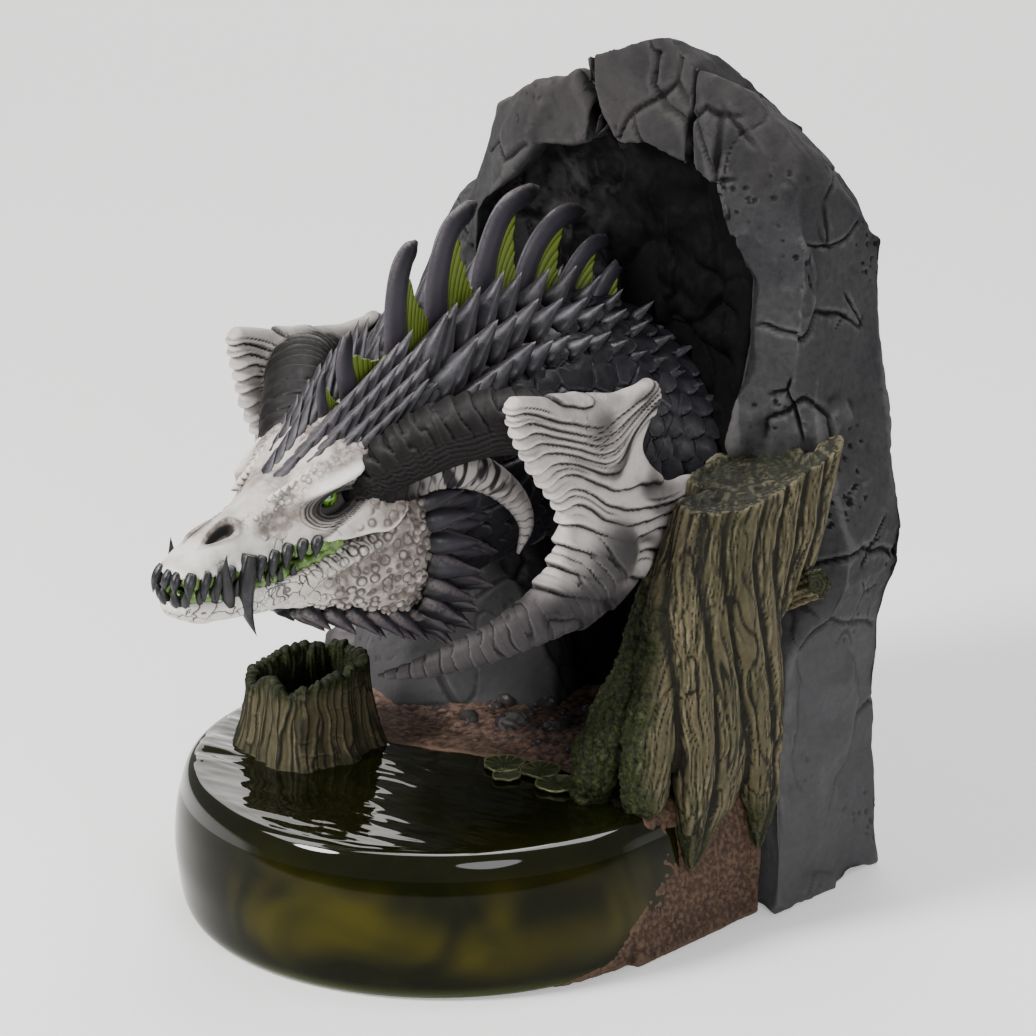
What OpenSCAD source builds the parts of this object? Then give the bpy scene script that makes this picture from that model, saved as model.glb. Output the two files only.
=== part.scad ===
// Dice tower sculpted as a dragon that leans out of a cave over a swamp pond.
// Millimetres. +Z is up, -Y is the way the dragon looks, +X is the dragon's left.
// The origin is the centre of the base's footprint, on the table.

/* [Base] */
// Half width of the base, and the radius of the pond's round front
base_r = 80; // [78:1:82]
// Distance from the base's centre to its flat back
back_y = 94; // [93:1:96]
// Height of the water above the table
water_z = 46; // [44:1:47]
// How far the pond's side bulges past its foot
pond_bulge = 2.5; // [1:0.5:4]

/* [Dice passage] */
// Across the largest die the passage is made for
die_d = 22; // [16:1:22]
// Thickness of the baffles, the ramp and the inner wall
plate_t = 3; // [2:0.5:4]
// Thickness of the back panel
panel_t = 4; // [3:0.5:5]

/* [Dragon] */
// Half width of the neck at its thickest
neck_rx = 30; // [27:0.5:31]
// Half height of the neck at its thickest
neck_rz = 37; // [34:0.5:38]
// Spikes in each row along the neck
spikes_per_row = 9; // [6:1:10]
// Rows of spikes on each side of the neck
spike_rows = 3; // [2:1:3]
// Teeth on each side of a jaw
teeth_per_side = 8; // [5:1:9]
// Radius of an eyeball
eye_r = 4.2; // [3.5:0.1:4.5]
// Thickness of a horn's flat blade
blade_t = 7; // [5:0.5:8]

/* [Swamp] */
// Radius of the hollow stump at its foot
stump_r = 20; // [18:0.5:21]
// Height of the hollow stump above the water
stump_h = 30; // [26:1:32]
// Radius of a lily pad
pad_r = 5.3; // [4:0.1:5.5]

/* [Hidden] */

front_y = -14;                 // centre of the pond's half circle
rock_front_y = 41;             // front of the rock beside the earth
pillar_x = 60;                 // inner face of the two rock pillars below the earth's top
chamber_y0 = 59;               // front of the dice chamber, behind the inner wall
chamber_y1 = back_y - panel_t; // back of the dice chamber
chamber_mid = (chamber_y0 + chamber_y1) / 2;
hopper_x = 5;                  // centre of the hopper, left to right
hopper_w = 2 * die_d + 4;      // width of the hopper's mouth, enough for two dice side by side
hopper_d = die_d + 5;          // depth of the hopper's mouth, front to back
hopper_z = 226;                // underside of the hopper's collar
fit = 0.4;                     // gap round an inner piece that is slid in
round_fn = 48;                 // facets asked of a round outline
head_x = -2;                   // the plane that the head is symmetric about

// ---------- small helpers ----------

function unit(v) = v / norm(v);
function spot(s) = [s[0], s[1], s[2]];

// Catmull-Rom blend of four stations
function blend(a, b, c, d, t) =
    0.5 * (2 * b + (c - a) * t + (2 * a - 5 * b + 4 * c - d) * t * t
    + (3 * b - a - 3 * c + d) * t * t * t);

// A smooth run of stations through st, with n steps between neighbours
function smooth(st, n) = let (last = len(st) - 1) [
    for (i = [0 : last - 1]) for (k = [0 : n - 1])
        blend(st[max(i - 1, 0)], st[i], st[i + 1], st[min(i + 2, last)], k / n),
    st[last]
];

// Position along smooth stations at fraction t of their count
function along(s, t) = let (f = t * (len(s) - 1), i = min(floor(f), len(s) - 2))
    s[i] + (s[i + 1] - s[i]) * (f - i);

// Frame at station i: [side, top, tangent]
function frame(s, i, up) = let (
    a = spot(s[max(i - 1, 0)]),
    b = spot(s[min(i + 1, len(s) - 1)]),
    t = unit(b - a),
    side = unit(cross(t, up)))
    [side, cross(side, t), t];

// A solid swept through stations [x, y, z, half width, half height]
module limb(st, sides = 12, n = 2, up = [0, 0, 1]) {
    s = smooth(st, n);
    m = len(s);
    pts = [
        for (i = [0 : m - 1]) let (f = frame(s, i, up)) for (k = [0 : sides - 1])
            spot(s[i]) + s[i][3] * cos(360 * k / sides) * f[0]
            + s[i][4] * sin(360 * k / sides) * f[1]
    ];
    walls = [
        for (i = [0 : m - 2]) for (k = [0 : sides - 1])
            let (a = i * sides + k, b = i * sides + (k + 1) % sides)
            each [[a, b, b + sides], [a, b + sides, a + sides]]
    ];
    polyhedron(
        points = pts,
        faces = concat(
            [[for (k = [0 : sides - 1]) sides - 1 - k]],
            walls,
            [[for (k = [0 : sides - 1]) (m - 1) * sides + k]])
    );
}

// A convex block with the given corners
module block(corners)
    hull() polyhedron(points = corners, faces = [[for (i = [0 : len(corners) - 1]) i]]);

// A straight pointed cone from a to b
module spike(a, b, r) {
    v = b - a;
    translate(a)
        rotate([0, acos(v.z / norm(v)), atan2(v.y, v.x)])
            cylinder(h = norm(v), r1 = r, r2 = 0.3, $fn = 20);
}

// A profile drawn in (y, z), extruded from x0 to x1
module slab_x(x0, x1, outline)
    translate([x0, 0, 0])
        rotate([90, 0, 90])
            linear_extrude(x1 - x0) polygon(outline);

// A profile drawn in (x, z), extruded from y0 to y1
module slab_y(y0, y1, outline)
    translate([0, y1, 0])
        rotate([90, 0, 0])
            linear_extrude(y1 - y0) polygon(outline);

module mirrored_x(x)
    translate([x, 0, 0]) mirror([1, 0, 0]) translate([-x, 0, 0]) children();

// Both sides of the head
module both_sides() {
    children();
    mirrored_x(head_x) children();
}

// ---------- base ----------

edge_r = 5;     // radius of the pond's rim
foot_r = 4;     // radius of the pond's foot
rim_in = 5;     // how far the rim is inside the bulge

// Radius of the pond's side, from its foot up to the water, with rounded edges
pond_profile = concat(
    [[0, 0]],
    [for (a = [0 : 30 : 90]) [base_r - pond_bulge - foot_r + foot_r * sin(a), foot_r - foot_r * cos(a)]],
    [[base_r - 0.5, water_z * 0.3], [base_r, water_z * 0.48], [base_r - 1, water_z * 0.7]],
    [for (a = [0 : 30 : 90]) [base_r - rim_in - edge_r * (1 - cos(a)) + 2, water_z - edge_r * (1 - sin(a))]],
    [[0, water_z]]
);

// The whole drum of the base in plan: round in front, straight back to y1
module drum(y1) {
    translate([0, front_y, 0])
        rotate_extrude($fn = 96) polygon(pond_profile);
    for (m = [0, 1])
        mirror([m, 0, 0])
            slab_y(front_y, y1, pond_profile);
}

// Everything on the water's side of the shore
module water_side() {
    intersection() {
        linear_extrude(water_z + 1)
            polygon([[-90, -100], [90, -100], [90, -13], [60, -5], [43, 1], [26, 2], [10, -6],
                     [-19, -16], [-40, -14], [-90, -8]]);
        slab_x(-90, 90, [[-100, -1], [-49, -1], [-26, 5], [-4, 30], [6, water_z + 1], [-100, water_z + 1]]);
    }
}

module pond() color([0.10, 0.12, 0.03, 0.8])
    intersection() {
        drum(4);
        water_side();
    }

module earth_base() color([0.30, 0.19, 0.13])
    difference() {
        union() {
            difference() {
                union() {
                    drum(rock_front_y);
                    // straight sides with a sharp foot beside the shore
                    translate([1 - base_r, front_y, 0])
                        cube([2 * base_r - 2, rock_front_y - front_y, water_z / 2]);
                }
                water_side();
            }
            // inner block between the rock pillars
            translate([-pillar_x, rock_front_y, 0])
                cube([2 * pillar_x, chamber_y1 - rock_front_y, water_z]);
            // cave floor, rising gently from the shore
            slab_x(-pillar_x, pillar_x, [[4, water_z], [14, water_z + 3], [rock_front_y, water_z + 5],
                [chamber_y1, water_z + 5], [chamber_y1, water_z]]);
        }
        rock_feet();
    }

// ---------- rock ----------

panel_x0 = -81;    // left edge of the back panel's recess
panel_x1 = 74;     // right edge of the recess
panel_z0 = 6;      // bottom of the recess
panel_z1 = 126;    // top of its straight part

cave_outline = [[8, 51], [-14, 84], [-40, 104], [-36, 196], [-12, 222], [30, 226], [54, 220],
    [66, 194], [63, 150], [60, 51]];
chamber_outline = [[-72, 51], [-74, 140], [-58, 186], [-38, 206], [-28, 215],
    [52, 215], [64, 190], [62, 150], [62, 51]];

// The space inside the rock: the cave in front, the dice chamber and the hopper shaft behind
module rock_hollow() {
    slab_y(-20, chamber_y0 - plate_t, cave_outline);
    slab_y(chamber_y0 - plate_t, back_y + 1, chamber_outline);
    translate([hopper_x - hopper_w / 2 - 4, chamber_mid - hopper_d / 2 - 2, 200])
        cube([hopper_w + 8, hopper_d + 4, 80]);
    translate([panel_x0, chamber_y1, panel_z0])
        cube([panel_x1 - panel_x0, panel_t + 1, panel_z1 - panel_z0]);
}

// The rocks that stand on the earth beside the mouth of the cave
module rock_feet() {
    block([[-87, 41, water_z], [-62, 14, water_z], [-37, 6, water_z], [8, 30, water_z],
           [2, 56, water_z], [-60, 56, water_z], [-87, 56, water_z],
           [-84, 46, 96], [-62, 26, 84], [-40, 22, 92], [-8, 40, 84], [-14, 56, 96], [-40, 56, 112]]);
    block([[-60, 56, water_z], [-60, 94, water_z], [-87, 94, water_z], [-87, 56, water_z],
           [-60, 56, 60], [-60, 94, 60], [-87, 94, 60], [-87, 56, 60]]);
}

module rock_left() color([0.27, 0.27, 0.28])
    difference() {
        union() {
            rock_feet();
            block([[-86, 41, 0], [-60, 41, 0], [-60, 94, 0], [-85, 94, 0],
                   [-87, 41, 46], [-60, 41, 46], [-60, 94, 46], [-86, 94, 46]]);
            block([[-87, 41, 60], [-44, 40, 60], [-60, 94, 60], [-86, 94, 60],
                   [-84, 48, 110], [-46, 44, 110], [-50, 94, 120], [-87, 94, 120],
                   [-64, 48, 150], [-44, 42, 150]]);
            block([[-84, 46, 110], [-40, 44, 110], [-40, 94, 110], [-87, 94, 118],
                   [-46, 46, 196], [-34, 42, 200], [-80, 94, 192], [-34, 94, 200], [-66, 64, 190]]);
            block([[-46, 46, 194], [-34, 42, 200], [-80, 94, 190], [8, 42, 224], [8, 44, 246],
                   [-14, 46, 240], [-36, 54, 228], [-58, 78, 219], [-36, 90, 222], [8, 92, 226],
                   [8, 94, 200], [-20, 94, 190]]);
        }
        rock_hollow();
    }

module rock_crown() color([0.31, 0.31, 0.32])
    difference() {
        block([[8, 42, 222], [8, 44, 246], [8, 92, 227], [8, 94, 200],
               [44, 44, 216], [44, 48, 247], [34, 48, 256], [22, 46, 252],
               [44, 92, 226], [44, 94, 200], [20, 66, 246], [38, 68, 248]]);
        rock_hollow();
    }

module rock_right() color([0.29, 0.29, 0.31])
    difference() {
        union() {
            block([[60, 41, 0], [85, 41, 0], [80, 94, 0], [60, 94, 0],
                   [60, 41, 46], [87, 41, 46], [84, 94, 50], [60, 94, 46]]);
            block([[60, 41, 46], [87, 41, 46], [84, 94, 46], [60, 94, 46],
                   [63, 47, 112], [88, 50, 112], [89, 94, 115], [62, 94, 112]]);
            block([[61, 47, 112], [88, 50, 112], [89, 94, 115], [60, 94, 112],
                   [64, 46, 190], [84, 52, 190], [80, 94, 199], [60, 94, 196]]);
            block([[64, 46, 190], [84, 52, 190], [80, 94, 199], [44, 94, 200],
                   [44, 44, 216], [56, 42, 222], [80, 54, 206], [44, 48, 247], [56, 54, 242],
                   [68, 60, 228], [60, 92, 214], [44, 92, 226]]);
        }
        rock_hollow();
        // socket that the neck's root sits in
        limb(neck_line, sides = 28, n = 3);
    }

panel_holes = [[-77.5, 16], [68, 16], [-77.5, 118], [68, 118]];
screw_r = 1.5;     // shank of a panel screw
screw_l = 8;       // its length below the head
head_r = 3;        // its head
head_h = 1.6;
key_r = 1.2;       // its hexagonal socket
key_h = 1;

module back_panel() color([0.18, 0.18, 0.19])
    difference() {
        slab_y(chamber_y1, back_y, [
            [panel_x0 + fit, panel_z0 + fit], [panel_x1 - fit, panel_z0 + fit],
            [panel_x1 - fit, panel_z1 - fit], [62 - fit, panel_z1 - fit], [62 - fit, 150],
            [64 - fit, 190], [52 - fit, 216], [hopper_x, 215], [-28, 215], [-38 + fit, 206 - fit],
            [-58 + fit, 186], [-74 + fit, 140], [-74 + fit, panel_z1 - fit],
            [panel_x0 + fit, panel_z1 - fit]]);
        for (h = panel_holes)
            translate([h.x, back_y + 1, h.y])
                rotate([90, 0, 0])
                    cylinder(h = panel_t + 2, r = screw_r + 0.2, $fn = round_fn);
    }

module back_screws() color("silver")
    for (h = panel_holes)
        translate([h.x, back_y, h.y])
            rotate([90, 0, 0]) {
                cylinder(h = screw_l, r = screw_r, $fn = round_fn);
                translate([0, 0, -head_h])
                    difference() {
                        cylinder(h = head_h, r = head_r, $fn = round_fn);
                        translate([0, 0, -0.1])
                            cylinder(h = key_h + 0.1, r = key_r, $fn = 6);
                    }
            }

// ---------- dice passage ----------

module hopper_funnel() color([0.2, 0.2, 0.21]) {
    w = hopper_w + 6;
    d = hopper_d + 3;
    translate([hopper_x, chamber_mid, hopper_z - 10])
        difference() {
            translate([-w / 2, -d / 2, 0]) cube([w, d, 12]);
            translate([-hopper_w / 2 + 3, -hopper_d / 2 + 1, -1])
                cube([hopper_w - 6, hopper_d - 2, 20]);
            block([[-hopper_w / 2 + 3, -hopper_d / 2 + 1, 5], [hopper_w / 2 - 3, -hopper_d / 2 + 1, 5],
                   [hopper_w / 2 - 3, hopper_d / 2 - 1, 5], [-hopper_w / 2 + 3, hopper_d / 2 - 1, 5],
                   [-w / 2 + 1, -d / 2 + 0.5, 13], [w / 2 - 1, -d / 2 + 0.5, 13],
                   [w / 2 - 1, d / 2 - 0.5, 13], [-w / 2 + 1, d / 2 - 0.5, 13]]);
        }
}

divider_x = -18;   // side of the divider that faces the neck's root
divider_z = 104;   // its bottom
divider_h = 66;

// Inner wall between cave and dice chamber, and the divider beside the neck's root
module chute_wall() color([0.16, 0.16, 0.17]) {
    slab_y(chamber_y0 - plate_t, chamber_y0, [[-70, 52], [divider_x, 52], [divider_x, 172], [62, 172],
        [62, 190], [50, 214], [-18, 214], [-37, 202], [-56, 184], [-72, 140]]);
    translate([divider_x - plate_t, chamber_y0, divider_z])
        cube([plate_t, chamber_y1 - chamber_y0 - fit, divider_h]);
}

// A plate across the chamber, sloping from [x0, z0] down to [x1, z1]
module slope_plate(x0, z0, x1, z1)
    slab_y(chamber_y0 + fit, chamber_y1 - fit,
        [[x0, z0], [x1, z1], [x1, z1 - plate_t], [x0, z0 - plate_t]]);

module baffle_upper() color([0.2, 0.2, 0.21]) slope_plate(44, 208, -24, 176);

module baffle_middle() color([0.2, 0.2, 0.21]) slope_plate(-65, 164, -45, 149);

module baffle_lower() color([0.2, 0.2, 0.21]) slope_plate(-21.5, 128, -44, 114);

module exit_ramp() color([0.2, 0.2, 0.21])
    slab_y(chamber_y0 + fit, chamber_y1 - fit,
        [[-71.5, 90], [22, water_z + 5.2], [-71.5, water_z + 5.2]]);

// ---------- swamp ----------

stump_at = [-37, -31];

module stump_hollow() color([0.33, 0.30, 0.16])
    translate([stump_at.x, stump_at.y, water_z])
        difference() {
            union() {
                cylinder(h = stump_h, r1 = stump_r - 2, r2 = stump_r - 4, $fn = round_fn);
                for (a = [20 : 60 : 320])
                    rotate(a)
                        block([[stump_r - 6, -5, 0], [stump_r - 6, 5, 0], [stump_r + 2, 2, 0],
                               [stump_r + 2, -2, 0], [stump_r - 6, -3, 16], [stump_r - 6, 3, 16]]);
            }
            translate([0, 0, 8])
                cylinder(h = stump_h, r = stump_r - 8, $fn = round_fn);
            for (k = [0 : 4])
                rotate(72 * k + 10)
                    translate([stump_r - 12, 0, stump_h + 1])
                        rotate([0, 90, 0])
                            cylinder(h = 16, r = 3 + k % 3, $fn = 24);
        }

pad_spots = [[20, -10, 25], [31.5, -6, 200], [43, -10, 120]];

pad_t = 1.4;       // thickness of a lily pad
notch_r = 1.8;     // half width of its notch at the edge

module lily_pads() color([0.20, 0.26, 0.10])
    for (p = pad_spots)
        translate([p.x, p.y, water_z])
            rotate(p[2])
                difference() {
                    cylinder(h = pad_t, r = pad_r, $fn = round_fn);
                    translate([0, 0, -1])
                        linear_extrude(pad_t + 2) polygon([[0, 0], [pad_r + 1, -notch_r], [pad_r + 1, notch_r]]);
                }

module shore_stones() color([0.36, 0.36, 0.37]) {
    for (s = [[4, 22, 51, 5], [13, 26, 51.5, 4], [43, 24, 51, 8], [-14, 8, 49, 6], [-74, 26, 47, 11]])
        translate([s[0], s[1], s[2]])
            intersection() {
                sphere(r = s[3], $fn = round_fn);
                translate([-20, -20, -1.5]) cube([40, 40, 40]);
            }
}

trunk_line = [[65, 24, water_z, 18, 19], [65, 25, 62, 18, 18], [66, 28, 84, 17, 15],
    [67, 32, 108, 17, 14], [69, 36, 130, 18, 15], [71, 40, 148, 19, 16]];

module tree_trunk() color([0.36, 0.34, 0.20])
    difference() {
        limb(trunk_line, sides = 20, n = 2, up = [0, 1, 0]);
        // slanted cut across the top, with the outer corner left high
        translate([70, 40, 138])
            rotate([-24, -16, 0])
                translate([-40, -40, 0]) cube([80, 80, 40]);
        // where the rock stands
        translate([40, rock_front_y + 4, 40]) cube([60, 60, 120]);
    }

module tree_roots() color([0.28, 0.31, 0.14]) {
    limb([[60, 20, 84, 7, 7], [52, 10, 62, 7, 7], [46, 3, 49, 6, 6], [43, -2, 44, 3, 3]], 10, 2);
    limb([[68, 12, 80, 8, 8], [70, 3, 60, 8, 8], [71, -4, 49, 7, 7], [70, -10, 44, 3, 3]], 10, 2);
    limb([[78, 18, 76, 6, 8], [82, 12, 54, 5, 7], [83, 8, 38, 4, 5], [82, 6, 24, 1, 1]], 10, 2);
    limb([[79, 28, 76, 6, 8], [83, 31, 54, 5, 7], [84, 36, 38, 4, 5], [83, 39, 24, 1, 1]], 10, 2);
}

module branch_stub() color([0.38, 0.36, 0.22])
    translate([78, 34, 97])
        rotate([0, 62, 20])
            difference() {
                cylinder(h = 11, r1 = 5, r2 = 4, $fn = round_fn);
                translate([0, 0, 10.2]) cylinder(h = 2, r = 2.6, $fn = round_fn);
            }

// ---------- dragon: neck ----------

neck_line = [
    [-2, -44, 137, 22, 27], [-1, -26, 138, neck_rx - 3, neck_rz - 3], [0, -6, 143, neck_rx, neck_rz],
    [2, 14, 146, neck_rx, neck_rz], [6, 34, 144, neck_rx, neck_rz - 1], [14, 52, 137, neck_rx, neck_rz - 3],
    [25, 67, 127, neck_rx, neck_rz - 6], [36, 78, 119, neck_rx - 1, neck_rz - 8]
];
neck_steps = smooth(neck_line, 3);
neck_count = len(neck_steps);

// Point on the neck: t from head to root, a measured from the back's midline towards +X
function neck_point(t, a, out = 0) = let (
    i = round(t * (neck_count - 1)),
    s = neck_steps[i],
    f = frame(neck_steps, i, [0, 0, 1]))
    spot(s) + (s[3] + out) * sin(a) * f[0] + (s[4] + out) * cos(a) * f[1];

function neck_back(t) = frame(neck_steps, round(t * (neck_count - 1)), [0, 0, 1])[2];

module neck() color([0.15, 0.15, 0.18])
    intersection() {
        limb(neck_line, sides = 28, n = 3);
        translate([-100, -100, 0]) cube([200, 100 + chamber_y1 - fit, 250]);
    }

// Overlapping plates across the neck's underside
module belly_plates() color([0.21, 0.20, 0.21])
    difference() {
        for (k = [0 : 6])
            let (i = 2 + 2 * k, s = neck_steps[i], e = neck_steps[i + 2])
            intersection() {
                limb([[s.x, s.y, s.z, s[3] + 0.6, s[4] + 0.6], [e.x, e.y, e.z, e[3] + 2, e[4] + 2]], 28, 1);
                translate([s.x - 16, s.y - 20, s.z - 60]) cube([32, 60, 36]);
            }
        limb(neck_line, sides = 28, n = 3);
    }

module neck_scales() color([0.19, 0.19, 0.22])
    for (side = [-1, 1], row = [0 : 2], k = [0 : spikes_per_row - 2]) {
        t = 0.1 + 0.075 * k + 0.03 * (row % 2);
        a = side * (84 + 20 * row);
        b = neck_point(t, a, -1.5);
        spike(b, b + 8.5 * unit(neck_back(t) + 0.45 * unit(b - spot(along(neck_steps, t)))), 2.6);
    }

module neck_spikes() color([0.16, 0.16, 0.20])
    for (side = [-1, 1], row = [0 : spike_rows - 1], k = [0 : spikes_per_row - 1]) {
        t = 0.08 + 0.07 * k + 0.03 * (row % 2);
        a = side * (18 + 19 * row);
        b = neck_point(t, a, -1.5);
        outward = unit(b - spot(along(neck_steps, t)));
        spike(b, b + (14 - 2 * row) * unit(neck_back(t) + 0.85 * outward), 2.6);
    }

// Each spine: foot, a point two thirds up, tip, and the half chord at the foot
spine_lines = [
    [[-2, -50, 162], [-2, -53, 174], [-2, -49, 186], 3],
    [[0, -36, 168], [0, -34, 190], [0, -26, 209], 5],
    [[0, -20, 172], [0, -16, 198], [0, -2, 216], 5.5],
    [[1, -2, 174], [1, 5, 201], [1, 26, 215], 5.5],
    [[2, 14, 176], [2, 24, 194], [4, 44, 205], 5],
    [[4, 28, 174], [5, 37, 188], [7, 51, 194], 4.5],
    [[7, 41, 168], [8, 47, 181], [10, 57, 187], 4]
];

module dorsal_spines() color([0.17, 0.17, 0.20])
    for (s = spine_lines)
        limb([[s[0].x, s[0].y, s[0].z, s[3], 2.6], [s[1].x, s[1].y, s[1].z, s[3] * 0.7, 2],
              [s[2].x, s[2].y, s[2].z, 0.8, 0.7]], 10, 4, [1, 0, 0]);

// Web behind each spine's foot
module fin_membranes() color([0.42, 0.52, 0.12])
    for (k = [0 : len(spine_lines) - 2]) {
        a = spine_lines[k];
        b = spine_lines[k + 1];
        foot = (a[0] + b[0]) / 2;
        edge = (b[0] + b[1]) / 2;
        slab_x(foot.x - 0.8, foot.x + 0.8, [
            [a[0].y + 1, a[0].z], [b[0].y - 1, b[0].z], [edge.y - 1, edge.z],
            [(edge.y + a[1].y) / 2, min(edge.z, a[1].z) - 3], [a[1].y + 1, a[1].z]]);
    }

// ---------- dragon: head ----------

skull_line = [
    [head_x - 1, -120, 133, 6, 4], [head_x - 1, -112, 134, 9, 6], [head_x, -98, 137, 11, 9],
    [head_x, -82, 141, 13, 11], [head_x, -66, 147, 17, 13], [head_x, -52, 150, 20, 15],
    [head_x, -38, 150, 19, 17]
];
jaw_line = [
    [head_x - 1, -122, 123.5, 5, 3], [head_x - 1, -114, 121.5, 9, 5], [head_x, -100, 120, 10.5, 6],
    [head_x, -84, 119.5, 12, 7.5], [head_x, -68, 118, 16, 9], [head_x, -52, 115, 21, 11],
    [head_x, -38, 114, 22, 13]
];

eye_x = 12.4;      // centre of the left eyeball
eye_y = -73;
eye_z = 147;

module skull() color([0.85, 0.83, 0.79])
    difference() {
        limb(skull_line, sides = 24, n = 3);
        // eye sockets
        both_sides()
            translate([eye_x, eye_y, eye_z]) sphere(r = eye_r + 1, $fn = round_fn);
        // nostrils
        both_sides()
            translate([head_x + 7, -110, 139]) sphere(r = 2.2, $fn = round_fn);
        // room for the neck
        limb(neck_line, sides = 28, n = 3);
    }

module lower_jaw() color([0.80, 0.79, 0.76])
    difference() {
        limb(jaw_line, sides = 24, n = 3);
        limb(skull_line, sides = 24, n = 3);
        limb(neck_line, sides = 28, n = 3);
    }

// Flesh between the jaws
module gums() color([0.25, 0.42, 0.10])
    difference() {
        limb([[head_x, -117, 128, 5, 2.4], [head_x, -100, 128, 9, 3], [head_x, -82, 129, 12, 3.4],
              [head_x, -64, 130, 16, 4]], 20, 2);
        limb(skull_line, sides = 24, n = 3);
        limb(jaw_line, sides = 24, n = 3);
    }

// One row of teeth along a side of the mouth; dir is 1 for the lower row, -1 for the upper
module tooth_row(dir, y0, y1, len0, len1)
    for (k = [0 : teeth_per_side - 1]) {
        f = k / (teeth_per_side - 1);
        y = y0 + (y1 - y0) * f;
        w = 5 + 12 * pow((y + 122) / 60, 0.8) * 0.72;
        z = 128.5 + 2.6 * f - dir * 2.5;
        spike([head_x + w, y, z], [head_x + w + 1.2, y - 0.6, z + dir * (len0 + (len1 - len0) * f)], 1.3);
    }

module upper_teeth() color([0.12, 0.12, 0.13])
    both_sides() tooth_row(-1, -120, -84, 7.5, 5);

module lower_teeth() color([0.13, 0.13, 0.14])
    both_sides() tooth_row(1, -118, -82, 8, 5);

module fangs() color([0.14, 0.14, 0.15])
    both_sides() {
        limb([[head_x + 9, -104, 136, 3, 2.6], [head_x + 12, -104, 127, 2.6, 2.4],
              [head_x + 12.5, -102, 118, 1.8, 1.7], [head_x + 11, -99, 110, 0.4, 0.4]], 10, 2, [0, 1, 0]);
        spike([head_x + 9, -110, 124], [head_x + 10, -109, 138], 1.8);
    }

module eye() {
    sphere(r = eye_r, $fn = round_fn);
}

module eye_left() color([0.25, 0.62, 0.08]) translate([eye_x, eye_y, eye_z]) eye();

module eye_right() color([0.25, 0.62, 0.08])
    mirrored_x(head_x) translate([eye_x, eye_y, eye_z]) eye();

module crest_plates() color([0.20, 0.20, 0.23])
    both_sides()
        for (k = [0 : 7]) {
            f = k / 7;
            b = [head_x + 4 + 9 * f, -82 + 42 * f, 151 + 13 * f];
            spike(b, b + [2 + 2 * f, 3 + 4 * f, 7 + 8 * f], 1.7);
        }

module jaw_spikes() color([0.15, 0.15, 0.17])
    both_sides() {
        // fan behind the cheek
        for (k = [0 : 6]) {
            a = -52 + 20 * k;
            b = [head_x + 22 + 3 * cos(a), -44, 124 + 17 * sin(a)];
            spike(b, b + 15 * unit([0.55 + 0.3 * cos(a), 0.75, 0.8 * sin(a) - 0.1]), 2.2);
        }
        // row under the jaw
        for (k = [0 : 4]) {
            b = [head_x + 10 + 1.5 * k, -76 + 9 * k, 110 - k];
            spike(b, b + [2, 6, -12], 2.4);
        }
    }

// Main horn: ribbed tube, flat serrated blade and a tapering point that sweeps forward
module horn() {
    limb([[18, -54, 150, 8, 8], [27, -44, 162, 9, 9], [36, -28, 169, 10, 10], [46, -12, 168, 10, 11],
          [55, -2, 160, 5, 11]], 14, 3);
    translate([57.5, 0, 0])
        rotate([0, 0, 3])
            slab_x(-blade_t / 2, blade_t / 2,
                [[-41, 177], [-20, 173], [13, 170], [7, 159], [26, 137], [12, 124], [-6, 112],
                 [-18, 116], [-27, 126], [-26, 140], [-32, 146], [-31, 158], [-38, 166]]);
    limb([[57, -10, 124, blade_t / 2, 13], [52, -26, 110, 5, 9], [43, -42, 100, 4, 6],
          [32, -54, 93, 3, 4], [20, -62, 89, 0.8, 0.8]], 12, 3);
}

module horn_left() color([0.62, 0.60, 0.58]) horn();

module horn_right() color([0.62, 0.60, 0.58]) mirrored_x(0) horn();

module cheek_horn() {
    limb([[19, -57, 146, 6, 6], [26, -44, 149, 6, 6], [31, -28, 145, 5, 5], [33, -15, 133, 3.6, 3.6],
          [30, -12, 117, 0.6, 0.6]], 12, 3, [1, 0, 0]);
}

module cheek_horn_left() color([0.35, 0.34, 0.35]) cheek_horn();

module cheek_horn_right() color([0.35, 0.34, 0.35]) mirrored_x(head_x) cheek_horn();

earth_base();
pond();
rock_left();
rock_crown();
rock_right();
back_panel();
back_screws();
hopper_funnel();
chute_wall();
baffle_upper();
baffle_middle();
baffle_lower();
exit_ramp();
stump_hollow();
lily_pads();
shore_stones();
tree_trunk();
tree_roots();
branch_stub();
neck();
belly_plates();
neck_scales();
neck_spikes();
dorsal_spines();
fin_membranes();
skull();
lower_jaw();
gums();
upper_teeth();
lower_teeth();
fangs();
eye_left();
eye_right();
crest_plates();
jaw_spikes();
horn_left();
horn_right();
cheek_horn_left();
cheek_horn_right();
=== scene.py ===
import math

import bpy
import numpy as np
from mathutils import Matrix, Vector


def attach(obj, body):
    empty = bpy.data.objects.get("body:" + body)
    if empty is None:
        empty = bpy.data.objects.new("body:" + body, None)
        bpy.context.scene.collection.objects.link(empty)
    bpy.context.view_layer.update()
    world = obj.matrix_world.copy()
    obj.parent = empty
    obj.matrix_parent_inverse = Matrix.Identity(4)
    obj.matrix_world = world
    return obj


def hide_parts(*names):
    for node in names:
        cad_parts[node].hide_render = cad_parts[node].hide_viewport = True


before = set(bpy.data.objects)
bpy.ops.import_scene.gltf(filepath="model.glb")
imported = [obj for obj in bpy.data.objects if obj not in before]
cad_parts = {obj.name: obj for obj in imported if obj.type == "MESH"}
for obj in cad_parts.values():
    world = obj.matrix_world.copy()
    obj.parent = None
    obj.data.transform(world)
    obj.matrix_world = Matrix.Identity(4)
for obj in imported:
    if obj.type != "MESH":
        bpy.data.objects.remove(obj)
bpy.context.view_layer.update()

MM = 0.001
FINE = 1.0      # coarser meshes while trying things
TAU = 2 * math.pi
POND_TOP = 46.0          # height of the water and of the shore
PANEL_Y = 84.0           # the back panel's inner face, which nothing of the neck may pass


# ---------------------------------------------------------------- vectors and noise

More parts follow.
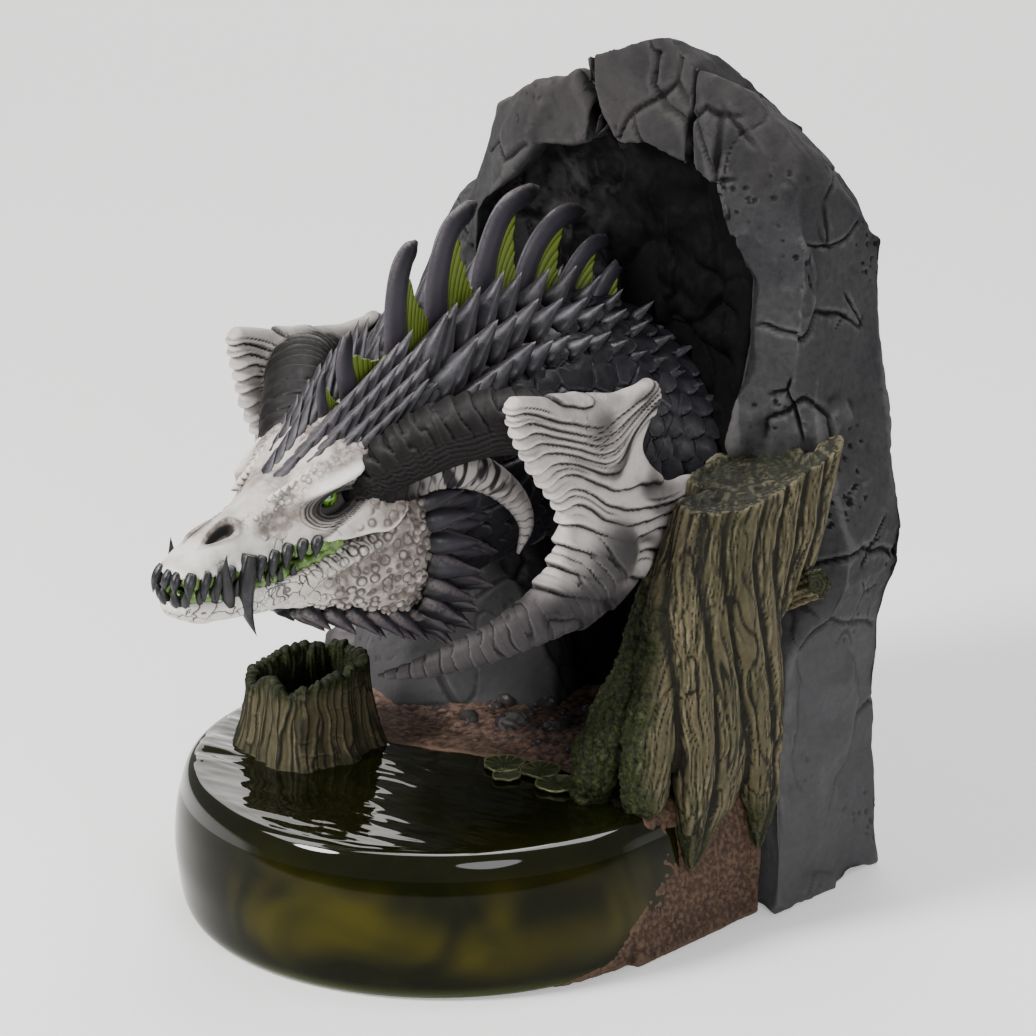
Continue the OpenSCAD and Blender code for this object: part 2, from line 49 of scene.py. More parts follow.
def unit(v):
    v = np.asarray(v, float)
    return v / np.maximum(np.linalg.norm(v, axis=-1, keepdims=True), 1e-9)


def held(x):
    """x kept between 0 and 1."""
    return np.clip(x, 0, 1)


def turns(n):
    """n angles evenly round a circle."""
    return np.arange(n) / n * TAU


def smoothstep(a, b, x):
    t = held((x - a) / (b - a))
    return t * t * (3 - 2 * t)


def bell(x, width):
    """1 at 0, falling to nearly nothing at two widths."""
    return np.exp(-(x / width) ** 2)


def band(x, a, b, c, d):
    """Rises from 0 at a to 1 at b and falls again from c to d."""
    return smoothstep(a, b, x) * smoothstep(d, c, x)


def stripe(x, width):
    """1 halfway between whole numbers."""
    return bell((x % 1 - 0.5) / width, 1)


def seam_line(x, width):
    """1 at whole numbers."""
    return bell(np.minimum(x % 1, 1 - x % 1), width)


AROUND = [(dx, dy, dz) for dx in (-1, 0, 1) for dy in (-1, 0, 1) for dz in (-1, 0, 1)]
_PERM = np.random.default_rng(11).permutation(256)
_GRAD = unit(np.random.default_rng(12).normal(size=(256, 3)))
_SPOT = np.random.default_rng(13).random((256, 3))


def _hash(ix, iy, iz):
    return _PERM[(_PERM[(_PERM[ix & 255] + iy) & 255] + iz) & 255]


def noise(p, size, seed=0):
    """Smooth noise from about -1 to 1 at points p, with features of that size."""
    q = p / size + seed * 17.13
    i = np.floor(q).astype(np.int64)
    f = q - i
    u = f * f * f * (f * (f * 6 - 15) + 10)
    out = np.zeros(len(p))
    for dx in (0, 1):
        wx = u[:, 0] if dx else 1 - u[:, 0]
        for dy in (0, 1):
            wy = u[:, 1] if dy else 1 - u[:, 1]
            for dz in (0, 1):
                wz = u[:, 2] if dz else 1 - u[:, 2]
                g = _GRAD[_hash(i[:, 0] + dx, i[:, 1] + dy, i[:, 2] + dz)]
                d = (f - (dx, dy, dz))
                out += wx * wy * wz * (g * d).sum(1)
    return out * 1.7


def fbm(p, size, octaves, seed):
    """Noise in layers, each half the size and strength of the one before."""
    out = np.zeros(len(p))
    for k in range(octaves):
        out += noise(p, size / 2 ** k, seed + k) / 2 ** k
    return out


def cells(p, size, seed=0, jitter=0.9):
    """Distances to the nearest two scattered points, the nearest one's number and the way from it."""
    q = p / size + seed * 7.31
    i = np.floor(q).astype(np.int64)
    n = len(p)
    d1, d2 = np.full(n, 1e9), np.full(n, 1e9)
    who, away = np.zeros(n, np.int64), np.zeros((n, 3))
    for step in AROUND:
        c = i + step
        h = _hash(c[:, 0], c[:, 1], c[:, 2])
        v = q - (c + 0.5 + (_SPOT[h] - 0.5) * jitter)
        d = (v * v).sum(1)
        near = d < d1
        d2 = np.where(near, d1, np.minimum(d2, d))
        d1 = np.where(near, d, d1)
        who = np.where(near, h, who)
        away = np.where(near[:, None], v, away)
    return np.sqrt(d1) * size, np.sqrt(d2) * size, who, away * size


def through(p, steps):
    """A smooth run through rows of numbers, from the second to the last but one."""
    out = []
    for k in range(1, len(p) - 2):
        a, b, c, d = p[k - 1:k + 3]
        for t in np.linspace(0, 1, steps, endpoint=False):
            out.append(0.5 * (2 * b + (c - a) * t + (2 * a - 5 * b + 4 * c - d) * t * t
                              + (3 * b - a - 3 * c + d) * t ** 3))
    out.append(p[-2])
    return np.array(out)


def catmull(points, steps):
    """A smooth run through all rows of numbers."""
    p = np.asarray(points, float)
    return through(np.vstack([2 * p[0] - p[1], p, 2 * p[-1] - p[-2]]), steps)


def resample(curve, n):
    """The same curve with n rows evenly spaced along its first three columns."""
    s = np.r_[0, np.cumsum(np.linalg.norm(np.diff(curve[:, :3], axis=0), axis=1))]
    t = np.linspace(0, s[-1], n)
    return np.stack([np.interp(t, s, curve[:, k]) for k in range(curve.shape[1])], 1)


def polyline_distance(q, line):
    """Distance from 2-D points to a polyline."""
    best = np.full(len(q), 1e9)
    for a, b in zip(line[:-1], line[1:]):
        a, b = np.asarray(a, float), np.asarray(b, float)
        ab = b - a
        t = held(((q - a) @ ab) / (ab @ ab))
        best = np.minimum(best, np.linalg.norm(q - a - t[:, None] * ab, axis=1))
    return best


def polygon_sdf(q, ring):
    """Distance from 2-D points to a closed outline, negative inside it."""
    d = polyline_distance(q, np.vstack([ring, ring[:1]]))
    inside = np.zeros(len(q), bool)
    for a, b in zip(ring, np.roll(ring, -1, 0)):
        cross = ((a[1] > q[:, 1]) != (b[1] > q[:, 1])) & (
            q[:, 0] < (b[0] - a[0]) * (q[:, 1] - a[1]) / (b[1] - a[1] + 1e-12) + a[0])
        inside ^= cross
    return np.where(inside, -d, d)


# ---------------------------------------------------------------- meshes

class Shape:
    """Points in millimetres, faces and per-point values."""

    def __init__(self, co, quads=(), tris=(), **values):
        self.co = np.asarray(co, float)
        self.quads = np.asarray(quads, np.int64).reshape(-1, 4)
        self.tris = np.asarray(tris, np.int64).reshape(-1, 3)
        self.values = {k: np.asarray(v, float) for k, v in values.items()}

    def edges(self):
        q, t = self.quads, self.tris
        pairs = [q[:, [k, (k + 1) % 4]] for k in range(4)] + [t[:, [k, (k + 1) % 3]] for k in range(3)]
        return np.vstack(pairs)

    def normals(self):
        co = self.co
        n = np.zeros_like(co)
        for f in (self.quads, self.tris):
            if not len(f):
                continue
            a = co[f[:, 2]] - co[f[:, 0]]
            if f.shape[1] == 4:
                fn = np.cross(a, co[f[:, 3]] - co[f[:, 1]])
            else:
                fn = np.cross(co[f[:, 1]] - co[f[:, 0]], a)
            for k in range(f.shape[1]):
                for c in range(3):
                    n[:, c] += np.bincount(f[:, k], fn[:, c], len(co))
        return unit(n)

    def blurred(self, x, times):
        """x averaged with its neighbours, that many times."""
        e = self.edges()
        count = (np.bincount(e[:, 0], minlength=len(self.co))
                 + np.bincount(e[:, 1], minlength=len(self.co)))
        count = np.maximum(count, 1)
        x = np.asarray(x, float)
        cols = x if x.ndim == 2 else x[:, None]
        for _ in range(times):
            new = np.empty_like(cols)
            for c in range(cols.shape[1]):
                s = (np.bincount(e[:, 0], cols[e[:, 1], c], len(cols))
                     + np.bincount(e[:, 1], cols[e[:, 0], c], len(cols)))
                new[:, c] = 0.5 * cols[:, c] + 0.5 * s / count
            cols = new
        return cols if x.ndim == 2 else cols[:, 0]

    def outward(self):
        """Turns the faces round if they face inwards."""
        if (self.normals() * (self.co - self.co.mean(0))).sum() < 0:
            self.quads, self.tris = self.quads[:, ::-1], self.tris[:, ::-1]
        return self

    def relax(self, times):
        self.co = self.blurred(self.co, times)
        return self

    def push(self, amount, normals=None):
        n = self.normals() if normals is None else normals
        self.co = self.co + n * np.asarray(amount)[:, None]
        return self

    def mirrored(self, x0=0.0):
        co = self.co.copy()
        co[:, 0] = 2 * x0 - co[:, 0]
        return Shape(co, self.quads[:, ::-1], self.tris[:, ::-1], **self.values)

    def paint(self, small=2, large=14, scale=0.35):
        """Fills wash (recesses) and edge (crests) from the surface's own curvature."""
        n = self.normals()
        a = ((self.blurred(self.co, small) - self.co) * n).sum(1)
        b = ((self.blurred(self.co, large) - self.co) * n).sum(1)
        hollow = a / (scale * 0.35) + b / scale
        self.values.setdefault("wash", held(hollow))
        self.values.setdefault("edge", held(-hollow))
        return self


def joined(shapes):
    """Several shapes as one; a value that one of them lacks is 0 there."""
    co, quads, tris, start = [], [], [], 0
    keys = sorted(set().union(*[set(s.values) for s in shapes]))
    values = {k: [] for k in keys}
    for s in shapes:
        co.append(s.co)
        quads.append(s.quads + start)
        tris.append(s.tris + start)
        for k in keys:
            values[k].append(s.values.get(k, np.zeros(len(s.co))))
        start += len(s.co)
    return Shape(np.vstack(co), np.vstack(quads), np.vstack(tris),
                 **{k: np.concatenate(v) for k, v in values.items()})


def grid(co, close_u=False, close_v=True, cap0=False, cap1=False, **values):
    """A surface from an array of rings (rows, points, 3); caps end in one point."""
    m, n = co.shape[:2]
    i, j = np.meshgrid(np.arange(m if close_u else m - 1), np.arange(n if close_v else n - 1),
                       indexing="ij")
    i2, j2 = (i + 1) % m, (j + 1) % n
    quads = np.stack([i * n + j, i * n + j2, i2 * n + j2, i2 * n + j], -1).reshape(-1, 4)
    pts, tris = co.reshape(-1, 3), []
    values = {k: np.broadcast_to(v, (m, n)).reshape(-1) for k, v in values.items()}
    for use, row, flip in ((cap0, 0, False), (cap1, m - 1, True)):
        if not use:
            continue
        pts = np.vstack([pts, pts[row * n:(row + 1) * n].mean(0)])
        values = {k: np.r_[v, v[row * n:(row + 1) * n].mean()] for k, v in values.items()}
        k = np.arange(n)
        ring, nxt = row * n + k, row * n + (k + 1) % n
        tip = np.full(n, len(pts) - 1)
        tris.append(np.stack([tip, ring, nxt] if flip else [tip, nxt, ring], -1))
    return Shape(pts, quads, np.vstack(tris) if tris else (), **values)


def frames(path, up=(0, 0, 1)):
    """Unit vectors to the side, over and along at each row of a path."""
    t = unit(np.gradient(path[:, :3], axis=0))
    side = unit(np.cross(t, np.asarray(up, float)))
    return side, np.cross(side, t), t


def tube(mid, across, over, wide, high):
    """Rings of points round a line, from their offsets along two directions."""
    return mid[:, None] + wide[..., None] * across[:, None] + high[..., None] * over[:, None]


def swept(stations, rings, sides, up=(0, 0, 1), shape=None):
    """A tube through stations (x, y, z, half width, half height). shape(t, a) scales its radius."""
    s = resample(catmull(stations, 12), rings)
    side, top, _ = frames(s, up)
    a = turns(sides)
    t = np.linspace(0, 1, rings)
    r = np.ones((rings, sides)) if shape is None else shape(t[:, None], a[None, :])
    co = tube(s[:, :3], side, top, r * s[:, 3:4] * np.cos(a), r * s[:, 4:5] * np.sin(a))
    return grid(co[:, ::-1], cap0=True, cap1=True,
                along=np.repeat(t[:, None], sides, 1), around=np.repeat(a[None, ::-1], rings, 0) / TAU)


def surface_nets(field, lo, hi, h):
    """The mesh of field < 0 inside a box, sampled finely only near the surface."""
    lo, hi = np.asarray(lo, float), np.asarray(hi, float)
    block = 4
    n = (np.ceil((hi - lo) / (h * block)).astype(int) + 1) * block + 1
    b = (n - 1) // block
    ci = np.stack(np.meshgrid(*[np.arange(k) for k in b], indexing="ij"), -1).reshape(-1, 3)
    mid = lo + (ci + 0.5) * block * h
    coarse = field(mid)
    near = np.abs(coarse) < block * h * 1.35
    full = coarse.reshape(b)
    for axis in range(3):
        full = full.repeat(block, axis)
    outside = 1e3
    vals = np.full(n, outside, np.float32)
    vals[:-1, :-1, :-1] = full
    off = np.stack(np.meshgrid(*[np.arange(block + 1)] * 3, indexing="ij"), -1).reshape(-1, 3)
    picked = ci[near]
    for k in range(0, len(picked), 4000):
        idx = (picked[k:k + 4000, None] * block + off[None]).reshape(-1, 3)
        vals[idx[:, 0], idx[:, 1], idx[:, 2]] = field(lo + idx * h)
    vals[0], vals[-1], vals[:, 0], vals[:, -1], vals[:, :, 0], vals[:, :, -1] = (outside,) * 6
    inside = vals < 0
    corners = [(dx, dy, dz) for dx in (0, 1) for dy in (0, 1) for dz in (0, 1)]
    c = [inside[dx:n[0] - 1 + dx, dy:n[1] - 1 + dy, dz:n[2] - 1 + dz] for dx, dy, dz in corners]
    total = sum(x.astype(np.int8) for x in c)
    cell = np.argwhere((total > 0) & (total < 8))
    number = np.full(np.array(n) - 1, -1, np.int64)
    number[cell[:, 0], cell[:, 1], cell[:, 2]] = np.arange(len(cell))
    corner_vals = np.stack([vals[cell[:, 0] + x, cell[:, 1] + y, cell[:, 2] + z] for x, y,
                            z in corners], 1).astype(float)
    acc, cnt = np.zeros((len(cell), 3)), np.zeros(len(cell))
    for p, q in [(0, 1), (0, 2), (0, 4), (1, 3), (1, 5), (2, 3), (2, 6), (3, 7), (4, 5), (4, 6),
                 (5, 7), (6, 7)]:
        a, d = corner_vals[:, p], corner_vals[:, q]
        m = (a < 0) != (d < 0)
        t = np.where(m, a / np.where(m, a - d, 1), 0)
        start, end = np.array(corners[p]), np.array(corners[q])
        acc += np.where(m[:, None], start + t[:, None] * (end - start), 0)
        cnt += m
    co = lo + (cell + acc / cnt[:, None]) * h
    quads = []
    for ax in range(3):
        u, v = (ax + 1) % 3, (ax + 2) % 3
        sl0, sl1 = [slice(None)] * 3, [slice(None)] * 3
        sl0[ax], sl1[ax] = slice(0, -1), slice(1, None)
        a, d = inside[tuple(sl0)], inside[tuple(sl1)]
        e = np.argwhere(a != d)
        e = e[(e[:, u] > 0) & (e[:, v] > 0) & (e[:, u] < n[u] - 1) & (e[:, v] < n[v] - 1)]
        flip = a[e[:, 0], e[:, 1], e[:, 2]]
        ids = []
        for du, dv in ((-1, -1), (0, -1), (0, 0), (-1, 0)):
            o = np.zeros(3, int)
            o[u], o[v] = du, dv
            w = e + o
            ids.append(number[w[:, 0], w[:, 1], w[:, 2]])
        q = np.stack(ids, 1)
        quads.append(np.where(flip[:, None], q, q[:, ::-1]))
    return Shape(co, np.vstack(quads))


def from_cad(node, voxel, relax=6):
    """A CAD node's own shape as an even mesh, ready to sculpt."""
    o = bpy.data.objects.new("scratch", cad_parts[node].data.copy())
    bpy.context.scene.collection.objects.link(o)
    weld = o.modifiers.new("weld", "WELD")
    weld.merge_threshold = 1e-6
    remesh = o.modifiers.new("remesh", "REMESH")
    remesh.mode = "VOXEL"
    remesh.voxel_size = voxel * MM
    deps = bpy.context.evaluated_depsgraph_get()
    m = o.evaluated_get(deps).to_mesh()
    co = np.zeros(len(m.vertices) * 3, np.float32)
    m.vertices.foreach_get("co", co)
    idx = np.zeros(len(m.loops), np.int32)
    m.loops.foreach_get("vertex_index", idx)
    start = np.zeros(len(m.polygons), np.int32)
    size = np.zeros(len(m.polygons), np.int32)
    m.polygons.foreach_get("loop_start", start)
    m.polygons.foreach_get("loop_total", size)
    quads = np.stack([idx[start[size == 4] + k] for k in range(4)], 1)
    tris = np.stack([idx[start[size == 3] + k] for k in range(3)], 1) if (size == 3).any() else ()
    o.evaluated_get(deps).to_mesh_clear()
    data = o.data
    bpy.data.objects.remove(o)
    bpy.data.meshes.remove(data)
    return Shape(co.reshape(-1, 3) / MM, quads, tris).relax(relax)


def piece(name, shape, material, slot, *nodes):
    """Makes a smooth Blender object of a shape, above the floor, riding on the one body."""
    shape.co[:, 2] = np.maximum(shape.co[:, 2], 0)
    m = bpy.data.meshes.new(name)
    nq, nt = len(shape.quads), len(shape.tris)
    m.vertices.add(len(shape.co))
    m.vertices.foreach_set("co", (shape.co * MM).astype(np.float32).ravel())
    m.loops.add(nq * 4 + nt * 3)
    m.loops.foreach_set("vertex_index", np.r_[shape.quads.ravel(), shape.tris.ravel()].astype(np.int32))
    m.polygons.add(nq + nt)
    starts = np.r_[np.arange(nq) * 4, nq * 4 + np.arange(nt) * 3].astype(np.int32)
    m.polygons.foreach_set("loop_start", starts)
    for k, v in shape.values.items():
        m.attributes.new(k, "FLOAT", "POINT").data.foreach_set("value", v.astype(np.float32))
    m.update(calc_edges=True)
    m.validate()
    m.polygons.foreach_set("use_smooth", np.full(nq + nt, True))
    m.materials.append(material)
    o = bpy.data.objects.new(name, m)
    bpy.context.scene.collection.objects.link(o)
    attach(o, "root")
    if nodes:
        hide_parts(*nodes)
    return o


# ---------------------------------------------------------------- materials

class Paint:
    """A node material, built a step at a time. Sizes are in millimetres."""

    def __init__(self, name, rough=0.6, specular=0.5, coat=0.0, coat_rough=0.1):
        self.mat = bpy.data.materials.new(name)
        self.mat.use_nodes = True
        self.nodes, self.links = self.mat.node_tree.nodes, self.mat.node_tree.links
        self.bsdf = self.nodes["Principled BSDF"]
        self.bsdf.inputs["Roughness"].default_value = rough
        self.bsdf.inputs["Specular IOR Level"].default_value = specular
        self.bsdf.inputs["Coat Weight"].default_value = coat
        self.bsdf.inputs["Coat Roughness"].default_value = coat_rough
        self.place = self.nodes.new("ShaderNodeTexCoord").outputs["Object"]

    def put(self, socket, value):
        if isinstance(value, bpy.types.NodeSocket):
            self.links.new(value, socket)
        elif isinstance(value, tuple) and len(value) == 3 and socket.type == "RGBA":
            socket.default_value = (*value, 1)
        else:
            socket.default_value = value

    def attr(self, name):
        n = self.nodes.new("ShaderNodeAttribute")
        n.attribute_name = name
        return n.outputs["Fac"]

    def mapped(self, stretch):
        n = self.nodes.new("ShaderNodeMapping")
        self.links.new(self.place, n.inputs["Vector"])
        n.inputs["Scale"].default_value = stretch
        return n.outputs["Vector"]

    def noise(self, size, detail=4, rough=0.55, warp=0.0, stretch=None):
        n = self.nodes.new("ShaderNodeTexNoise")
        n.inputs["Scale"].default_value = 1 / (size * MM)
        n.inputs["Detail"].default_value = detail
        n.inputs["Roughness"].default_value = rough
        n.inputs["Distortion"].default_value = warp
        self.links.new(self.mapped(stretch) if stretch else self.place, n.inputs["Vector"])
        return n.outputs["Fac"]

    def spots(self, size):
        n = self.nodes.new("ShaderNodeTexVoronoi")
        n.inputs["Scale"].default_value = 1 / (size * MM)
        self.links.new(self.place, n.inputs["Vector"])
        return n.outputs["Distance"]

    def ramp(self, value, a, b, lo=0.0, hi=1.0):
        """value from a to b becomes lo to hi, smoothly."""
        n = self.nodes.new("ShaderNodeMapRange")
        n.interpolation_type = "SMOOTHSTEP"
        self.put(n.inputs["Value"], value)
        for key, v in (("From Min", a), ("From Max", b), ("To Min", lo), ("To Max", hi)):
            n.inputs[key].default_value = v
        return n.outputs["Result"]

    def math(self, op, a, b=0.0):
        n = self.nodes.new("ShaderNodeMath")
        n.operation = op
        self.put(n.inputs[0], a)
        self.put(n.inputs[1], b)
        return n.outputs[0]

    def times(self, a, b):
        return self.math("MULTIPLY", a, b)

    def mix(self, amount, a, b):
        n = self.nodes.new("ShaderNodeMix")
        n.data_type = "RGBA"
        self.put(n.inputs[0], amount)
        self.put(n.inputs[6], a)
        self.put(n.inputs[7], b)
        return n.outputs[2]

    def xyz(self):
        n = self.nodes.new("ShaderNodeSeparateXYZ")
        self.links.new(self.place, n.inputs[0])
        return n.outputs

    def bump(self, value, depth):
        n = self.nodes.new("ShaderNodeBump")
        n.inputs["Strength"].default_value = 1.0
        n.inputs["Distance"].default_value = depth * MM
        self.put(n.inputs["Height"], value)
        self.links.new(n.outputs["Normal"], self.bsdf.inputs["Normal"])

    def colour(self, value):
        self.put(self.bsdf.inputs["Base Color"], value)
        return self


def shade(colour, k):
    """A colour made k times as bright."""
    return tuple(min(1.0, c * k) for c in colour)


def painted(name, base, dark, light, rough=0.62, patch=None, patch_size=14.0, wash=1.0, edge=0.8,
            grain=0.9, grain_depth=0.08, mottle=0.22, specular=0.3, relief=0.0, relief_size=4.0):
    """Brushed model paint: a base with patches, a dark wash in the hollows and pale dry-brushed edges."""
    p = Paint(name, rough, specular, coat_rough=0.25)
    col = p.mix(p.ramp(p.noise(patch_size, 3), 0.42, 0.66), base, patch or shade(base, 0.86))
    col = p.mix(p.ramp(p.noise(grain * 3, 5), 0.3, 0.75, 0, mottle), col, shade(dark, 1.2))
    hollow = p.times(p.attr("wash"), wash)
    col = p.mix(p.ramp(hollow, 0.05, 0.85), col, dark)
    crest = p.times(p.attr("edge"), p.ramp(p.noise(grain * 2.2, 4), 0.25, 0.6, 0.35, 1.0))
    col = p.mix(p.times(p.ramp(crest, 0.08, 0.75), edge), col, light)
    p.colour(col)
    p.put(p.bsdf.inputs["Roughness"], p.ramp(p.noise(grain * 4, 4), 0.3, 0.7, rough - 0.09, rough + 0.11))
    height = p.times(p.noise(grain, 5, 0.6), grain_depth)
    if relief:
        height = p.math("ADD", height, p.times(p.noise(relief_size, 4), relief))
    p.bump(height, 1.0)
    return p


def rock_paint(name="rock_paint", specular=0.13):
    """Grey rock, darker and dusty on top, paler low down and near black with painted shade inside the cave.
    """
    p = painted(name, (0.040, 0.0395, 0.041), (0.0045, 0.0045, 0.005), (0.098, 0.094, 0.093), rough=0.76,
                patch=(0.026, 0.0265, 0.029), patch_size=34, wash=1.0, edge=0.5, grain=0.7,
                grain_depth=0.10, mottle=0.35, specular=specular, relief=0.55, relief_size=5)
    col = p.bsdf.inputs["Base Color"].links[0].from_socket
    z = p.xyz()[2]
    dust = p.times(p.ramp(z, 0.205, 0.24), p.ramp(p.noise(18, 4), 0.35, 0.6, 0.05, 0.35))
    col = p.mix(p.ramp(z, 0.205, 0.235, 0, 0.5), col, (0.014, 0.0135, 0.014))
    col = p.mix(dust, col, (0.058, 0.051, 0.050))
    col = p.mix(p.ramp(z, 0.105, 0.075, 0, 0.5), col, (0.078, 0.077, 0.080))
    # painted shade: near black where the mesh marks the shaded inside of the cave
    p.colour(p.mix(p.times(p.attr("soot"), 0.96), col, (0.0020, 0.0020, 0.0022)))
    return p.mat


def earth_paint():
    """Brown crumbly earth with pale gravel on the shore."""
    p = Paint("earth_paint", 0.85, 0.25)
    col = p.mix(p.ramp(p.noise(9, 4), 0.35, 0.7), (0.068, 0.037, 0.020), (0.041, 0.022, 0.012))
    col = p.mix(p.ramp(p.noise(0.9, 3, 0.7), 0.50, 0.62), col, (0.020, 0.011, 0.007))
    col = p.mix(p.times(p.attr("gravel"), p.ramp(p.noise(1.6, 4), 0.42, 0.62)), col, (0.26, 0.18, 0.155))
    col = p.mix(p.times(p.attr("gravel"), 0.5), col, (0.20, 0.125, 0.095))
    col = p.mix(p.times(p.attr("wash"), 0.8), col, (0.02, 0.011, 0.008))
    col = p.mix(p.times(p.attr("edge"), 0.4), col, (0.17, 0.11, 0.075))
    p.colour(col)
    p.bump(p.noise(0.9, 5, 0.7), 0.35)
    return p.mat


def pond_resin(name, specular, ior):
    """Dark swamp water, with painted light: a yellow-green glow low in its side and a lime strip at its far
    left.
    """
    p = Paint(name, 0.05, specular)
    x, _, z = p.xyz()
    # painted light: yellow-green patches standing in for light that shines through the resin
    painted_glow = p.ramp(p.noise(40, 2, 0.5, 0.8), 0.42, 0.72)
    low = p.times(p.ramp(z, 0.042, 0.026), p.ramp(z, 0.004, 0.016))
    col = p.mix(p.times(painted_glow, p.math("ADD", low, 0.08)), (0.0042, 0.0048, 0.0010), (0.040, 0.035, 0.0020))
    col = p.mix(p.ramp(p.noise(13, 4), 0.50, 0.85, 0, 0.5), col, (0.013, 0.016, 0.0025))
    # painted light: a lime strip down the far left of the side, for light seen through the resin's edge
    left = p.times(p.ramp(x, -0.073, -0.0800), p.ramp(z, 0.049, 0.036))
    col = p.mix(p.times(left, 0.75), col, (0.12, 0.16, 0.012))
    col = p.mix(p.times(p.ramp(z, 0.0055, 0.0), 0.7), col, (0.050, 0.062, 0.012))
    p.colour(col)
    p.bsdf.inputs["IOR"].default_value = ior
    return p.mat


def bark_paint():
    """Brown bark, with moss where the mesh says so."""
    p = painted("bark_paint", (0.074, 0.062, 0.031), (0.0075, 0.007, 0.003), (0.155, 0.132, 0.078),
                rough=0.76, patch=(0.050, 0.047, 0.020), patch_size=13, wash=1.1, edge=0.75,
                grain=0.7, grain_depth=0.12, specular=0.22)
    col = p.bsdf.inputs["Base Color"].links[0].from_socket
    moss = p.times(p.attr("moss"), p.ramp(p.noise(4, 4), 0.15, 0.42))
    green = p.mix(p.ramp(p.noise(0.9, 3), 0.35, 0.7), (0.004, 0.0065, 0.001), (0.031, 0.040, 0.008))
    p.colour(p.mix(moss, col, p.mix(p.times(p.attr("wash"), 0.8), green, (0.003, 0.004, 0.0012))))
    return p.mat


def lily_paint():
    p = painted("lily_paint", (0.030, 0.038, 0.010), (0.010, 0.014, 0.004), (0.13, 0.14, 0.055),
                rough=0.38, patch=(0.022, 0.030, 0.009), patch_size=5, grain=0.6, grain_depth=0.03,
                specular=0.5)
    return p.mat


def hide_paint():
    return painted("hide_paint", (0.018, 0.0172, 0.0215), (0.0024, 0.0023, 0.003),
                   (0.085, 0.081, 0.098), rough=0.44,
                   patch=(0.018, 0.0175, 0.023), patch_size=20, edge=0.7, grain=0.6, grain_depth=0.04,
                   specular=0.22, relief=0.12, relief_size=2.5).mat


def spike_paint():
    """Dark horn, paler toward the root and along its edges."""
    p = painted("spike_paint", (0.009, 0.0080, 0.0100), (0.0023, 0.0021, 0.0025), (0.125, 0.106, 0.108),
                rough=0.40, patch=(0.017, 0.0155, 0.021), patch_size=12, edge=0.8, grain=0.5,
                grain_depth=0.03, specular=0.3)
    col = p.bsdf.inputs["Base Color"].links[0].from_socket
    p.colour(p.mix(p.times(p.attr("cool"), 0.8), col, (0.046, 0.041, 0.053)))
    return p.mat


def fin_paint():
    p = Paint("fin_paint", 0.45, 0.35)
    rib = p.attr("rib")
    col = p.mix(p.attr("along"), (0.022, 0.036, 0.004), (0.135, 0.185, 0.013))
    col = p.mix(p.ramp(rib, 0.6, 1.0), col, (0.016, 0.027, 0.004))
    col = p.mix(p.ramp(p.noise(4, 4), 0.45, 0.75, 0, 0.5), col, (0.105, 0.175, 0.035))
    p.colour(col)
    p.bump(p.noise(0.6, 4), 0.05)
    return p.mat


def bone_paint():
    p = painted("bone_paint", (0.68, 0.645, 0.60), (0.11, 0.09, 0.076), (0.82, 0.80, 0.76), rough=0.58,
                patch=(0.58, 0.535, 0.485), patch_size=15, wash=1.05, edge=0.5, grain=0.5,
                grain_depth=0.05, mottle=0.08)
    col = p.bsdf.inputs["Base Color"].links[0].from_socket
    # grime, together with painted shade in the hollows, creases and towards the rear of the head
    col = p.mix(p.times(p.attr("grime"), p.ramp(p.noise(2.4, 4), 0.25, 0.6, 0.5, 1.0)), col,
                (0.150, 0.124, 0.110))
    # near black: dark lines in cracks and dots, and painted shade inside the nostrils, round the eyes and at
    # the jaw's hidden rear end
    col = p.mix(p.attr("ink"), col, (0.016, 0.0145, 0.014))
    p.colour(col)
    return p.mat


def gum_paint():
    p = Paint("gum_paint", 0.30, 0.4, 0.3, 0.15)
    col = p.mix(p.ramp(p.noise(4, 3), 0.4, 0.7), (0.036, 0.085, 0.010), (0.014, 0.036, 0.006))
    col = p.mix(p.attr("edge"), col, (0.11, 0.20, 0.035))
    p.colour(p.mix(p.attr("wash"), col, (0.005, 0.012, 0.003)))
    p.bump(p.noise(1.5, 3), 0.08)
    return p.mat


def tooth_paint():
    return painted("tooth_paint", (0.0085, 0.0083, 0.0095), (0.003, 0.003, 0.003), (0.060, 0.057, 0.060),
                   rough=0.36, patch=(0.020, 0.0215, 0.024), patch_size=4, edge=0.8, grain=0.4,
                   grain_depth=0.03, specular=0.35).mat


def eye_paint():
    p = Paint("eye_paint", 0.12, 0.6, 1.0, 0.03)
    col = p.mix(p.attr("iris"), (0.006, 0.010, 0.004), (0.115, 0.27, 0.012))
    col = p.mix(p.ramp(p.noise(0.8, 4), 0.4, 0.7, 0, 0.5), col, (0.06, 0.25, 0.01))
    p.colour(p.mix(p.attr("pupil"), col, (0.002, 0.003, 0.0015)))
    return p.mat


def horn_paint():
    """Weathered pale horn with dark flowing grooves, dark brown and ribbed near the skull."""
    p = painted("horn_paint", (0.50, 0.465, 0.44), (0.040, 0.034, 0.034), (0.76, 0.72, 0.69), rough=0.55,
                patch=(0.37, 0.338, 0.325), patch_size=13, wash=1.1, edge=0.5, grain=0.5,
                grain_depth=0.05, mottle=0.12, specular=0.13)
    col = p.bsdf.inputs["Base Color"].links[0].from_socket
    dark = p.mix(p.noise(5, 3), (0.0032, 0.0027, 0.0026), (0.0068, 0.0057, 0.0056))
    dark = p.mix(p.times(p.attr("edge"), 0.4), dark, (0.036, 0.031, 0.031))
    dark = p.mix(p.attr("wash"), dark, (0.0028, 0.0023, 0.0022))
    gray = p.mix(p.times(p.attr("edge"), 0.7), (0.0125, 0.011, 0.013), (0.068, 0.060, 0.064))
    col = p.mix(p.attr("shadow"), col, p.mix(p.attr("wash"), gray, (0.009, 0.008, 0.009)))
    col = p.mix(p.attr("char"), col, dark)
    p.colour(p.mix(p.attr("line"), col, (0.0085, 0.0075, 0.0078)))
    return p.mat


